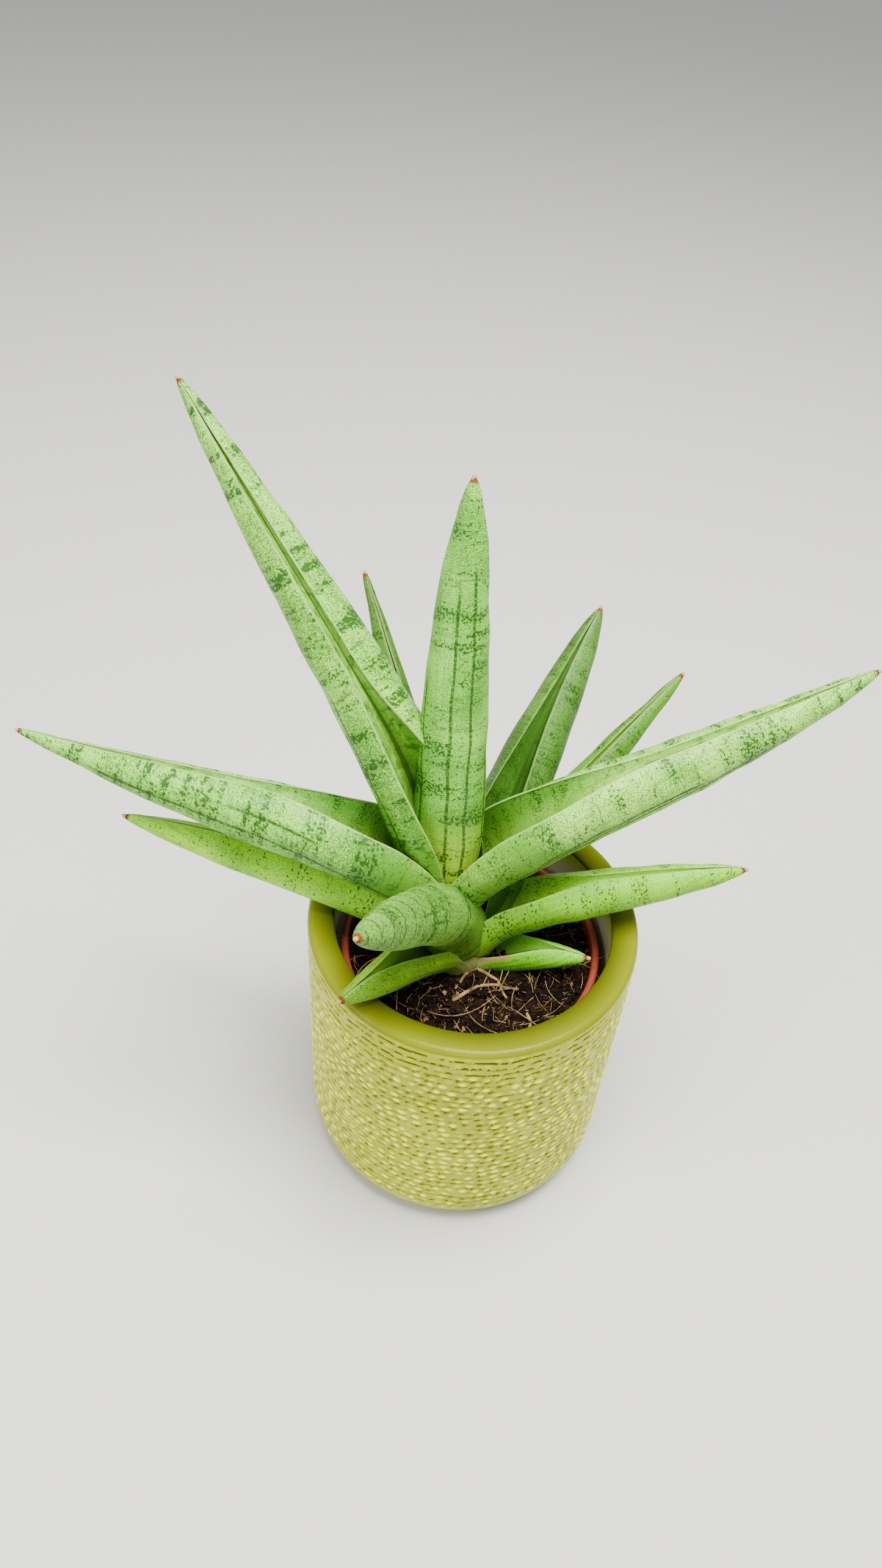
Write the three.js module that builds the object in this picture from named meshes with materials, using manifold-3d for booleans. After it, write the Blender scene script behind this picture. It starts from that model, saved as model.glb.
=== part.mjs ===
// A silver crown snake plant in its nursery pot, standing in a relief-glazed ceramic cachepot.
// Units are millimetres and degrees, +Z is up, and the origin is the centre of the cachepot's resting face.
// The stem leans a little, twelve channelled leaves clasp it one inside the next, and each leaf is cut clear
// of every younger one.
import * as THREE from "three";
import { mergeVertices } from "three/addons/utils/BufferGeometryUtils.js";
import Module from "manifold-3d";

// Driving dimensions
const CLEARANCE = 0.35; // between pieces that touch on the real plant
const STEM_TOLERANCE = 0.06; // how far a thinned-out face may move
const CUTTER_TOLERANCE = 0.08;
const LEAF_TOLERANCE = 0.12;
const SOIL_TOLERANCE = 0.15;
const WELD = 1e-4; // points nearer than this are one

const CACHEPOT = {
  radius: 60,
  height: 120,
  cornerRadius: 13,
  lipRadius: 3,
  lipBand: 5, // smooth glazed band below the rim
  mouthRadius: 50.4,
  innerRadius: 52.5,
  floor: 8,
  segments: 72,
  reliefRows: 21,
  reliefDepth: 1,
  reliefJitter: 0.35, // how far a knob is out of its place, as a share of the spacing
  mouthEase: 1.2, // rounding of the mouth's edge
  innerStep: 3, // height over which the wall thins below the band
  innerCorner: 6, // chamfer where the inside wall meets the floor
};

const NURSERY = {
  rimRadius: 48,
  rimHeight: 104,
  rimBand: 4,
  baseRadius: 36,
  wall: 1.1,
  step: 1.4, // how far the rim band stands out from the wall
  chamfer: 0.6, // of the rim's outer edge
  holes: 6,
  holeRadius: 4,
  holeCircle: 24,
  holeSides: 12,
  segments: 40,
};

const SOIL = {
  edgeHeight: 99.5,
  crownHeight: 103.5,
  rings: 7,
  segments: 32,
  lump: 0.8,
};

// The stem is the pressed core that every leaf grows from.
const STEM = {
  x: -3,
  y: -4,
  leanX: -0.19, // millimetres sideways for each millimetre up
  leanY: 0.1,
  leanFrom: 103,
  bottom: 88,
  top: 131,
  bottomRadius: 7.5,
  waistRadius: 9,
  topRadius: 8.4,
  topChamfer: 3,
  segments: 20,
};

// Thick tan roots that leave the stem and run over the soil: where they start and how they bend.
const ROOT = { sides: 5, steps: 6, sunk: 0.4, dip: 0.8 };
const ROOTS = [
  { azimuth: -118, reach: 19, bend: -18, radius: 0.9 },
  { azimuth: -84, reach: 27, bend: 26, radius: 0.8 },
  { azimuth: -56, reach: 31, bend: -22, radius: 0.7 },
  { azimuth: -35, reach: 26, bend: 30, radius: 0.7 },
  { azimuth: 20, reach: 24, bend: -20, radius: 0.8 },
  { azimuth: 78, reach: 27, bend: 24, radius: 0.7 },
  { azimuth: 140, reach: 25, bend: -26, radius: 0.8 },
  { azimuth: -160, reach: 24, bend: 22, radius: 0.7 },
];

// Leaves, youngest first. azimuth and lift give the way the blade points, swing how far it has turned aside at
// its tip, baseLift the way its sheath starts and bend how soon it leaves the sheath. radius is that of the
// rounded blade, baseScale the sheath's share of it, taper and blunt shape the outer half. The channel is open
// by mouth degrees each side at the blade's foot and closes to a narrow groove at shut, a share of the length.
const LEAF = {
  azimuth: 0,
  swing: 0,
  length: 150,
  lift: 30,
  baseLift: 86,
  bend: 5,
  height: 112,
  offset: 3,
  shift: 0,
  radius: 10,
  baseScale: 1,
  taper: 0.6,
  blunt: 4,
  twist: 0,
  sheathMouth: 62,
  mouth: 42,
  shut: 0.52,
  stations: 13,
  slit: 12, // half the angle of the channel's mouth where it has closed
  tipRadius: 0.9,
  edge: 1.1, // thickness of the margin
};

const SILVER_LEAVES = 6; // the youngest leaves, which keep their silver bloom

const LEAVES = [
  {
    name: "leaf_01_centre",
    azimuth: -84,
    swing: -9,
    length: 146,
    lift: 107,
    baseLift: 103,
    height: 132,
    offset: 1,
    shift: -3,
    radius: 11.4,
    baseScale: 0.75,
    taper: 0.33,
  },
  {
    name: "leaf_02_right",
    azimuth: 12,
    swing: 14,
    length: 168,
    lift: 20,
    baseLift: 70,
    bend: 8,
    height: 135,
    offset: 1,
    shift: -1,
    radius: 12.8,
    baseScale: 0.95,
    taper: 0.58,
    sheathMouth: 54,
    mouth: 38,
  },
  {
    name: "leaf_03_tall_left",
    azimuth: 147,
    length: 200,
    lift: 49,
    baseLift: 92,
    bend: 6,
    height: 124,
    offset: 2,
    radius: 14.3,
    baseScale: 0.75,
    taper: 0.62,
    twist: -35,
    stations: 16,
  },
  {
    name: "leaf_04_left",
    azimuth: 180,
    swing: -13,
    length: 162,
    lift: 11,
    baseLift: 70,
    bend: 8,
    height: 131,
    offset: 2,
    radius: 14.3,
    baseScale: 0.95,
    taper: 0.78,
    twist: 14,
  },
  {
    name: "leaf_05_front",
    azimuth: -117,
    length: 94,
    lift: 37,
    baseLift: 77,
    bend: 4,
    height: 116,
    radius: 10.5,
    baseScale: 1.15,
    taper: 0.4,
    blunt: 4.5,
    twist: 45,
    stations: 12,
  },
  {
    name: "leaf_06_back_right",
    azimuth: 62,
    length: 134,
    lift: 40,
    baseLift: 80,
    bend: 4,
    height: 106,
    offset: 4,
    shift: -2,
    radius: 12.8,
    baseScale: 0.7,
    taper: 0.5,
    shut: 0.85,
  },
  {
    name: "leaf_07_lower_right",
    azimuth: 6,
    length: 104,
    lift: 13,
    baseLift: 60,
    bend: 8,
    height: 114,
    radius: 9,
    baseScale: 1.25,
    taper: 0.45,
    stations: 13,
  },
  {
    name: "leaf_08_back_left",
    azimuth: 120,
    length: 133,
    lift: 48,
    baseLift: 66,
    radius: 6.3,
    baseScale: 1.5,
    stations: 12,
  },
  {
    name: "leaf_09_lower_left",
    azimuth: 175,
    length: 128,
    lift: 14,
    baseLift: 58,
    bend: 7,
    height: 108,
    radius: 9.4,
    baseScale: 1.2,
    taper: 0.5,
    twist: 10,
    stations: 13,
  },
  {
    name: "leaf_10_far_right",
    azimuth: 43,
    length: 128,
    lift: 32,
    baseLift: 75,
    height: 107,
    radius: 7.8,
    baseScale: 1.3,
    stations: 12,
  },
  {
    name: "leaf_11_lowest_left",
    azimuth: -130,
    length: 65,
    lift: 15,
    baseLift: 60,
    height: 107,
    radius: 8.4,
    baseScale: 1.25,
    taper: 0.52,
    mouth: 62,
    shut: 0.85,
    stations: 10,
  },
  {
    name: "leaf_12_lowest_right",
    azimuth: -10,
    length: 45,
    lift: 11,
    baseLift: 20,
    bend: 4,
    height: 104,
    radius: 7.2,
    baseScale: 1.25,
    taper: 0.62,
    mouth: 62,
    shut: 0.85,
    stations: 9,
  },
];

// Finishes
const GLAZE = new THREE.MeshStandardMaterial({
  color: 0xb4b84e,
  roughness: 0.25,
});
const TERRACOTTA_PLASTIC = new THREE.MeshStandardMaterial({
  color: 0x9a3f2a,
  roughness: 0.55,
});
const PEAT = new THREE.MeshStandardMaterial({ color: 0x2b1d14, roughness: 1 });
const ROOT_SKIN = new THREE.MeshStandardMaterial({
  color: 0xb08d62,
  roughness: 0.8,
});
const SILVER_LEAF = new THREE.MeshStandardMaterial({
  color: 0x9cc68a,
  roughness: 0.45,
});
const OLD_LEAF = new THREE.MeshStandardMaterial({
  color: 0x7fb33f,
  roughness: 0.45,
});

const wasm = await Module();
wasm.setup();

const radians = THREE.MathUtils.degToRad;
const mix = THREE.MathUtils.lerp;
const ease = (from, to, x) => THREE.MathUtils.smoothstep(x, from, to);

// A closed geometry as a solid that can be joined and cut.
function solidOf(geometry) {
  const bare = new THREE.BufferGeometry();
  bare.setAttribute("position", geometry.getAttribute("position"));
  bare.setIndex(geometry.index);
  const merged = mergeVertices(bare, WELD);
  return new wasm.Manifold(
    new wasm.Mesh({
      numProp: 3,
      vertProperties: new Float32Array(merged.attributes.position.array),
      triVerts: new Uint32Array(merged.index.array),
    }),
  );
}

// A solid as a geometry with flat-shaded corners.
function geometryOf(solid) {
  const mesh = solid.getMesh();
  const positions = new Float32Array(mesh.numVert * 3);
  for (let i = 0; i < mesh.numVert; i++)
    positions.set(
      mesh.vertProperties.subarray(i * mesh.numProp, i * mesh.numProp + 3),
      i * 3,
    );
  const geometry = new THREE.BufferGeometry();
  geometry.setAttribute("position", new THREE.BufferAttribute(positions, 3));
  geometry.setIndex(new THREE.BufferAttribute(mesh.triVerts, 1));
  geometry.computeVertexNormals();
  return geometry;
}

// The biggest body of a solid, without the scraps a cut leaves.
function largestBody(solid) {
  const bodies = solid.decompose();
  return bodies.reduce((best, body) =>
    body.volume() > best.volume() ? body : best,
  );
}

// A profile of [radius, height] points turned round the Z axis.
function turned(profile, segments) {
  const points = profile.map(([r, z]) => new THREE.Vector2(r, z));
  return new THREE.LatheGeometry(points, segments).rotateX(Math.PI / 2);
}

// Points of a circular arc in a profile, from one angle to another.
function arc(centreR, centreZ, radius, from, to, steps) {
  const points = [];
  for (let i = 0; i <= steps; i++) {
    const a = radians(mix(from, to, i / steps));
    points.push([
      centreR + radius * Math.cos(a),
      centreZ + radius * Math.sin(a),
    ]);
  }
  return points;
}

// Rings of points, each ring closed, skinned into one tube that is open at both ends.
function skinned(rings) {
  const around = rings[0].length;
  const positions = rings.flat().flatMap((p) => [p.x, p.y, p.z]);
  const index = [];
  for (let i = 0; i + 1 < rings.length; i++)
    for (let j = 0; j < around; j++) {
      const k = (j + 1) % around;
      const a = i * around + j;
      const b = i * around + k;
      index.push(a, b, b + around, a, b + around, a + around);
    }
  const geometry = new THREE.BufferGeometry();
  geometry.setAttribute(
    "position",
    new THREE.Float32BufferAttribute(positions, 3),
  );
  geometry.setIndex(index);
  return geometry;
}

// Rings whose first half and second half face each other, skinned and closed by a strip at each end.
function cappedSkin(rings) {
  const geometry = skinned(rings);
  const index = [...geometry.index.array];
  const around = rings[0].length;
  const last = (rings.length - 1) * around;
  for (let i = 0; i + 1 < around / 2; i++) {
    const a = i;
    const b = i + 1;
    const c = around - 2 - i;
    const d = around - 1 - i;
    index.push(d, c, b, d, b, a);
    index.push(last + d, last + b, last + c, last + d, last + a, last + b);
  }
  geometry.setIndex(index);
  return geometry;
}

// A tube of a few sides along a curve.
function tube(curve, radius, sides, steps) {
  const section = new THREE.Shape();
  for (let i = 0; i < sides; i++) {
    const a = (2 * Math.PI * i) / sides;
    const point = [radius * Math.cos(a), radius * Math.sin(a)];
    if (i) section.lineTo(...point);
    else section.moveTo(...point);
  }
  return mergeVertices(
    new THREE.ExtrudeGeometry(section, {
      steps,
      bevelEnabled: false,
      extrudePath: curve,
    })
      .deleteAttribute("normal")
      .deleteAttribute("uv"),
    WELD,
  );
}

// The stem's axis at a height.
function stemAxis(z) {
  const up = z - STEM.leanFrom;
  return new THREE.Vector3(
    STEM.x + STEM.leanX * up,
    STEM.y + STEM.leanY * up,
    z,
  );
}

// Height of the soil, which heaps up a little round the stem and is lumpy all over.
function soilHeight(x, y) {
  const out = Math.min(1, Math.hypot(x - STEM.x, y - STEM.y) / NURSERY.rimRadius);
  const lumps =
    Math.sin(0.37 * x + 1.3) * Math.sin(0.41 * y + 0.4) +
    0.6 * Math.sin(0.83 * x - 0.61 * y) +
    0.4 * Math.sin(0.52 * x + 1.07 * y + 2.1);
  return (
    mix(SOIL.crownHeight, SOIL.edgeHeight, ease(0.15, 0.95, out)) +
    SOIL.lump * 0.5 * lumps * (1 - out ** 6)
  );
}

// A repeatable number from 0 to 1 for a row and a column.
function scatter(row, column) {
  const n = Math.sin(12.9898 * row + 78.233 * column) * 43758.5453;
  return n - Math.floor(n);
}

// The cachepot: a thick-walled cylinder with a flat base, a rounded foot and a rounded glazed lip.
// Its outer wall carries rows of raised knobs with pits between them.
function cachepot() {
  const pot = CACHEPOT;
  const wallFoot = pot.cornerRadius;
  const wallTop = pot.height - pot.lipBand;
  const wall = [];
  for (let i = 1; i < pot.reliefRows; i++)
    wall.push([pot.radius, mix(wallFoot, wallTop, i / pot.reliefRows)]);
  const profile = [
    [0, 0],
    ...arc(
      pot.radius - pot.cornerRadius,
      pot.cornerRadius,
      pot.cornerRadius,
      -90,
      0,
      5,
    ),
    ...wall,
    ...arc(
      pot.radius - pot.lipRadius,
      pot.height - pot.lipRadius,
      pot.lipRadius,
      0,
      90,
      4,
    ),
    [pot.mouthRadius + pot.mouthEase, pot.height - 0.25 * pot.mouthEase],
    [pot.mouthRadius, pot.height - 2 * pot.mouthEase],
    [pot.mouthRadius, wallTop],
    [pot.innerRadius, wallTop - pot.innerStep],
    [pot.innerRadius, pot.floor + pot.innerCorner],
    [pot.innerRadius - pot.innerCorner, pot.floor],
    [0, pot.floor],
  ];
  const geometry = turned(profile, pot.segments);
  const position = geometry.getAttribute("position");
  const rowHeight = (wallTop - wallFoot) / pot.reliefRows;
  const columnAngle = (2 * Math.PI) / pot.segments;
  for (let i = 0; i < position.count; i++) {
    const x = position.getX(i);
    const y = position.getY(i);
    const z = position.getZ(i);
    const r = Math.hypot(x, y);
    const row = Math.round((z - wallFoot) / rowHeight);
    const onWall = r > pot.radius - 1e-3 && row > 0 && row < pot.reliefRows;
    if (!onWall) continue;
    const turns = Math.round(Math.atan2(y, x) / columnAngle);
    const column = (turns + pot.segments) % pot.segments;
    const raised = (row + column) % 2 === 0;
    const sunk = raised
      ? 0.2 * scatter(row, column)
      : pot.reliefDepth * (0.7 + 0.3 * scatter(row, column));
    const angle =
      columnAngle *
      (column + pot.reliefJitter * (scatter(column, row + 0.5) - 0.5));
    position.setXYZ(
      i,
      (r - sunk) * Math.cos(angle),
      (r - sunk) * Math.sin(angle),
      z + pot.reliefJitter * rowHeight * (scatter(column + 0.5, row) - 0.5),
    );
  }
  const around = profile.length;
  const index = geometry.index;
  for (let i = 0; i < index.count; i += 6) {
    const a = index.getX(i);
    const row = (a % around) - profile.indexOf(wall[0]) + 1;
    const column = Math.floor(a / around);
    const onWall = row >= 0 && row < pot.reliefRows;
    if (!onWall || (row + column) % 2 === 0) continue;
    const b = a + around;
    index.set([a, b, b + 1, a, b + 1, a + 1], i);
  }
  return solidOf(geometry);
}

// The nursery pot's inner radius at a height.
function nurseryInside(z) {
  const standing = CACHEPOT.floor + CLEARANCE;
  const rise = (z - standing) / (NURSERY.rimHeight - standing);
  return (
    mix(NURSERY.baseRadius, NURSERY.rimRadius - NURSERY.step, rise) -
    NURSERY.wall
  );
}

// The thin plastic pot that the plant was grown in, with a rim band and drain holes.
function nurseryPot() {
  const pot = NURSERY;
  const standing = CACHEPOT.floor + CLEARANCE;
  const bandFoot = pot.rimHeight - pot.rimBand;
  const profile = [
    [0, standing],
    [pot.baseRadius, standing],
    [nurseryInside(bandFoot) + pot.wall, bandFoot],
    [pot.rimRadius, bandFoot],
    [pot.rimRadius, pot.rimHeight - pot.chamfer],
    [pot.rimRadius - pot.chamfer, pot.rimHeight],
    [nurseryInside(pot.rimHeight), pot.rimHeight],
    [nurseryInside(standing + pot.wall), standing + pot.wall],
    [0, standing + pot.wall],
  ];
  let shell = solidOf(turned(profile, pot.segments));
  for (let i = 0; i < pot.holes; i++) {
    const a = (2 * Math.PI * i) / pot.holes;
    const hole = new THREE.CylinderGeometry(
      pot.holeRadius,
      pot.holeRadius,
      4 * pot.wall,
      pot.holeSides,
    )
      .rotateX(Math.PI / 2)
      .translate(
        pot.holeCircle * Math.cos(a),
        pot.holeCircle * Math.sin(a),
        standing,
      );
    shell = shell.subtract(solidOf(hole));
  }
  return shell;
}

// The block of peat in the nursery pot, with an uneven top.
function soilBlock() {
  const bottom = CACHEPOT.floor + CLEARANCE + NURSERY.wall + CLEARANCE;
  const topRadius = nurseryInside(SOIL.edgeHeight) - CLEARANCE;
  const profile = [
    [0, bottom],
    [nurseryInside(bottom) - CLEARANCE, bottom],
  ];
  for (let i = SOIL.rings; i >= 0; i--)
    profile.push([(topRadius * i) / SOIL.rings, SOIL.edgeHeight]);
  const geometry = turned(profile, SOIL.segments);
  const position = geometry.getAttribute("position");
  for (let i = 0; i < position.count; i++)
    if (position.getZ(i) > SOIL.edgeHeight - 1)
      position.setZ(i, soilHeight(position.getX(i), position.getY(i)));
  return solidOf(geometry);
}

// The stem, grown larger by a margin where it cuts its way through other pieces.
function stem(margin) {
  const height = STEM.top - STEM.bottom;
  const profile = [
    [0, STEM.bottom - margin],
    [STEM.bottomRadius + margin, STEM.bottom - margin],
    [STEM.waistRadius + margin, STEM.bottom + 0.3 * height],
    [STEM.waistRadius + margin, STEM.bottom + 0.6 * height],
    [STEM.topRadius + margin, STEM.top - STEM.topChamfer],
    [STEM.topRadius - STEM.topChamfer + margin, STEM.top + margin],
    [0, STEM.top + margin],
  ];
  const lean = new THREE.Matrix4().set(
    1,
    0,
    STEM.leanX,
    STEM.x - STEM.leanX * STEM.leanFrom,
    0,
    1,
    STEM.leanY,
    STEM.y - STEM.leanY * STEM.leanFrom,
    0,
    0,
    1,
    0,
    0,
    0,
    0,
    1,
  );
  return solidOf(turned(profile, STEM.segments).applyMatrix4(lean));
}

// The thick surface roots, half sunk in the soil.
function surfaceRoots(margin) {
  return ROOTS.map(({ azimuth, reach, bend, radius }) => {
    const points = [];
    const foot = stemAxis(SOIL.crownHeight);
    for (let i = 0; i <= 4; i++) {
      const along = i / 4;
      const a = radians(azimuth + bend * along * along);
      const out = mix(STEM.waistRadius - 3, reach, along);
      const x = foot.x + out * Math.cos(a);
      const y = foot.y + out * Math.sin(a);
      const z = soilHeight(x, y) + ROOT.sunk * radius - ROOT.dip * along;
      points.push(new THREE.Vector3(x, y, z));
    }
    return solidOf(
      tube(
        new THREE.CatmullRomCurve3(points),
        radius + margin,
        ROOT.sides,
        ROOT.steps,
      ),
    );
  });
}

// The radius of a leaf's rounded section at a share s of its length.
function bladeRadius(leaf, s) {
  const outer = Math.min(1, Math.max(0, (s - 0.18) / 0.82));
  const sheath = mix(leaf.baseScale, 1, ease(0, 0.2, s));
  const taper =
    (1 - leaf.taper * outer) * (1 - outer ** leaf.blunt) ** 0.7;
  return leaf.radius * sheath * taper + LEAF.tipRadius;
}

// Half the angle, in degrees, over which the channel is open at a share s of the length.
function channelMouth(leaf, s) {
  const foot = mix(leaf.sheathMouth, leaf.mouth, ease(0, 0.2, s));
  return mix(foot, LEAF.slit, ease(0.2, leaf.shut, s));
}

// The closed outline of a leaf's section: its channel from left to right, then its rounded back.
// margin thickens it all round. Each point is [across, towards the channel].
function leafSection(leaf, s, margin) {
  const half = 4;
  const r = bladeRadius(leaf, s);
  const mouth = radians(channelMouth(leaf, s));
  const reach = Math.min(Math.PI - mouth + margin / r, Math.PI - 0.03);
  const edge = Math.min(LEAF.edge, 0.35 * r);
  const wall = Math.min(2 + 0.35 * leaf.radius * ease(0.05, 0.3, s), 0.6 * r);
  const depth = mix(r, 0.12 * r + 0.5, ease(0.2, leaf.shut, s));
  const lipX = r * Math.sin(reach);
  const lipY = -r * Math.cos(reach);
  const channelX = Math.max(lipX - edge, 0.25 * lipX);
  const cut = ease(0.05, 0.26, s);
  const channel = [];
  const back = [];
  for (let i = -half; i <= half; i++) {
    const u = i / half;
    const a = u * reach;
    const thick = edge + (wall - edge) * (1 - Math.abs(u) ** 3) + margin;
    const sheathPoint = [
      (r - thick) * Math.sin(0.985 * a),
      -(r - thick) * Math.cos(0.985 * a),
    ];
    const groovePoint = [
      Math.max(0.1, channelX - margin) * u,
      lipY - 0.15 * edge - depth * (1 - Math.abs(u) ** 1.6) + margin,
    ];
    channel.push(sheathPoint.map((v, k) => mix(v, groovePoint[k], cut)));
    back.unshift([(r + margin) * Math.sin(a), -(r + margin) * Math.cos(a)]);
  }
  return [...channel, ...back];
}

// A leaf as one closed solid, thickened all round by a margin.
function leafSolid(leaf, margin) {
  const foot = stemAxis(leaf.height);
  const outwardAt = (s) => {
    const a = radians(leaf.azimuth + leaf.swing * s);
    return new THREE.Vector3(Math.cos(a), Math.sin(a), 0);
  };
  const lift = (s) =>
    radians(leaf.lift + (leaf.baseLift - leaf.lift) * (1 - s) ** leaf.bend);
  const pointing = (s) =>
    outwardAt(s)
      .multiplyScalar(Math.cos(lift(s)))
      .setZ(Math.sin(lift(s)));
  // The spine is walked in short steps, which the stations then pick from.
  const walk = 240;
  foot.addScaledVector(outwardAt(0), leaf.offset).x += leaf.shift;
  const spine = [foot];
  for (let i = 0; i < walk; i++)
    spine.push(
      spine[i]
        .clone()
        .addScaledVector(pointing((i + 0.5) / walk), leaf.length / walk),
    );
  const ring = (s, grow) => {
    const along = pointing(s);
    const turn = radians(leaf.twist) * ease(0, 0.5, s);
    const outward = outwardAt(s);
    const across = new THREE.Vector3(outward.y, -outward.x, 0);
    const inward = across.clone().cross(along);
    const right = across
      .clone()
      .multiplyScalar(Math.cos(turn))
      .addScaledVector(inward, -Math.sin(turn));
    const up = inward
      .multiplyScalar(Math.cos(turn))
      .addScaledVector(across, Math.sin(turn));
    const at = spine[Math.round(s * walk)]
      .clone()
      .addScaledVector(along, grow);
    return leafSection(leaf, s, margin).map(([x, y]) =>
      at.clone().addScaledVector(right, x).addScaledVector(up, y),
    );
  };
  const rings = [];
  for (let i = 0; i <= leaf.stations; i++) {
    const s = (i / leaf.stations) ** 0.9;
    const end = i === 0 ? -margin : i === leaf.stations ? margin : 0;
    rings.push(ring(s, end));
  }
  return solidOf(cappedSkin(rings));
}

const plant = new THREE.Group();

function add(name, shape, material) {
  const mesh = new THREE.Mesh(
    shape.isBufferGeometry ? shape : geometryOf(shape),
    material,
  );
  mesh.name = name;
  plant.add(mesh);
}

add("cachepot", cachepot(), GLAZE);
add("nursery_pot", nurseryPot(), TERRACOTTA_PLASTIC);

const stemAndRoots = surfaceRoots(0).reduce(
  (joined, root) => joined.add(root),
  stem(0),
);
const stemHole = surfaceRoots(CLEARANCE).reduce(
  (joined, root) => joined.add(root),
  stem(CLEARANCE),
);
add("crown_stem", stemAndRoots.simplify(STEM_TOLERANCE), ROOT_SKIN);

// Each leaf is cut clear of the stem, the roots and every younger leaf.
let taken = stemHole;
for (const [order, own] of LEAVES.entries()) {
  const leaf = { ...LEAF, ...own };
  const cut = leafSolid(leaf, 0).subtract(taken);
  const blade = largestBody(largestBody(cut).simplify(LEAF_TOLERANCE));
  add(leaf.name, blade, order < SILVER_LEAVES ? SILVER_LEAF : OLD_LEAF);
  taken = taken.add(leafSolid(leaf, CLEARANCE)).simplify(CUTTER_TOLERANCE);
}

// The soil has holes for the stem, the roots and the sheaths that start below its top.
const soil = largestBody(soilBlock().subtract(taken));
add("soil_plug", soil.simplify(SOIL_TOLERANCE), PEAT);

export default plant;
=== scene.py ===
"""A silver crown snake plant in its nursery pot, standing in a relief-glazed ceramic cachepot.

The sizes in the classes are millimetres and degrees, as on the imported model. Meshes are made in metres, in
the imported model's own frame: +Z is up and the origin is the centre of the cachepot's resting face.
"""

import logging
import math
from dataclasses import dataclass, replace
from enum import Enum
from functools import partial

import bpy
import numpy as np
from mathutils import Matrix, Vector


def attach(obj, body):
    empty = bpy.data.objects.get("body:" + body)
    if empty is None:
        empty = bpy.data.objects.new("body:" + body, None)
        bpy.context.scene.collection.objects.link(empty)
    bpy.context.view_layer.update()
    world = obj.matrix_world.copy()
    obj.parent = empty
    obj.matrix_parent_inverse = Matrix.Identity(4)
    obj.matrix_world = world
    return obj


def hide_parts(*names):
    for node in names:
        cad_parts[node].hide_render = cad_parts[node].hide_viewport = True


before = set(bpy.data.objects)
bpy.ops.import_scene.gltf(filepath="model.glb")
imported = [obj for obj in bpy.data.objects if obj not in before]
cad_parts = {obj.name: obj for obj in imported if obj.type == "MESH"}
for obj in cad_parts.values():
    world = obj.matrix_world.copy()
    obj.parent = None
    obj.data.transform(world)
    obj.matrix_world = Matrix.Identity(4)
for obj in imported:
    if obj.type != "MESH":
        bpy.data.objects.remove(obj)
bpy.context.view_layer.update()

MM = 0.001  # metres in a millimetre
TURN = 2 * math.pi
LOG = logging.getLogger("snake_plant")
MATHS, VECTOR, RANGE = "ShaderNodeMath", "ShaderNodeVectorMath", "ShaderNodeMapRange"
SPLIT, JOIN, MIX = "ShaderNodeSeparateXYZ", "ShaderNodeCombineXYZ", "ShaderNodeMix"
NOISE, DICE, OWN = "ShaderNodeTexNoise", "ShaderNodeTexWhiteNoise", "ShaderNodeAttribute"
CHANCE, PLACE = "FunctionNodeRandomValue", "GeometryNodeInputPosition"
SMOOTH = {"interpolation_type": "SMOOTHSTEP"}

Numbers = float | np.ndarray
Piece, Material, Node = bpy.types.Object, bpy.types.Material, bpy.types.Node
Tree, Socket = bpy.types.NodeTree, bpy.types.NodeSocket
Skin = tuple[np.ndarray, list]
Marks = tuple[tuple[float, float, float], ...]


def srgb(code: str) -> tuple[float, float, float, float]:
    """Turns a colour into the linear values that a shader takes.

    Args:
        code: the colour as "#rrggbb", as a screen shows it.

    Returns:
        Linear red, green, blue and full opacity.
    """
    shown = [int(code[i : i + 2], 16) / 255 for i in (1, 3, 5)]
    return (*(c / 12.92 if c <= 0.04045 else ((c + 0.055) / 1.055) ** 2.4 for c in shown), 1.0)


def mix(a: Numbers, b: Numbers, share: Numbers) -> Numbers:
    """Returns the value a share of the way from a to b, for numbers and arrays alike."""
    return a + (b - a) * share


def ease(start: float, end: float, x: Numbers) -> Numbers:
    """Returns a smooth step from 0 at start to 1 at end, for numbers and arrays alike."""
    t = np.clip((x - start) / (end - start), 0, 1)
    return t * t * (3 - 2 * t)


def waves(x: np.ndarray, y: np.ndarray, seed: int, count: int = 7) -> np.ndarray:
    """Makes smooth unevenness from a few crossing waves.

    Args:
        x: places across, in wavelengths.
        y: places along, in wavelengths.
        seed: chooses the waves.
        count: how many waves are added.

    Returns:
        Heights of about -1 to 1, in the shape of x and y.
    """
    draw = np.random.default_rng(seed)
    total = 0
    for _ in range(count):
        across, along = draw.normal(0, 1, 2)
        total = total + np.sin(TURN * (across * x + along * y + draw.random()))
    return total / math.sqrt(count)


def add_node(
    tree: Tree, kind: str, inputs: dict | tuple = (), output: str | int = 0, **settings: str | bool
) -> Socket | Node:
    """Adds one node with its settings and links.

    Args:
        tree: the tree that the node joins.
        kind: the node's type.
        inputs: a value or the socket that feeds it for each input, by name or number, or in the node's order.
        output: name or number of the output that is wanted.
        settings: the node's properties.

    Returns:
        The wanted output socket, or the node where it has none.
    """
    node = tree.nodes.new(kind)
    for name, value in settings.items():
        setattr(node, name, value)
    for key, value in inputs.items() if isinstance(inputs, dict) else enumerate(inputs):
        if isinstance(value, Socket):
            tree.links.new(value, node.inputs[key])
        else:
            node.inputs[key].default_value = value
    return node.outputs[output] if len(node.outputs) else node


def overlap(tree: Tree, *masks: Socket | float) -> Socket:
    """Multiplies masks and strengths.

    Args:
        tree: the tree that the nodes join.
        masks: two or more masks or strengths.

    Returns:
        Their product, which holds where all of them do.
    """
    shared = masks[0]
    for other in masks[1:]:
        shared = add_node(tree, MATHS, (shared, other), operation="MULTIPLY")
    return shared


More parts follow.
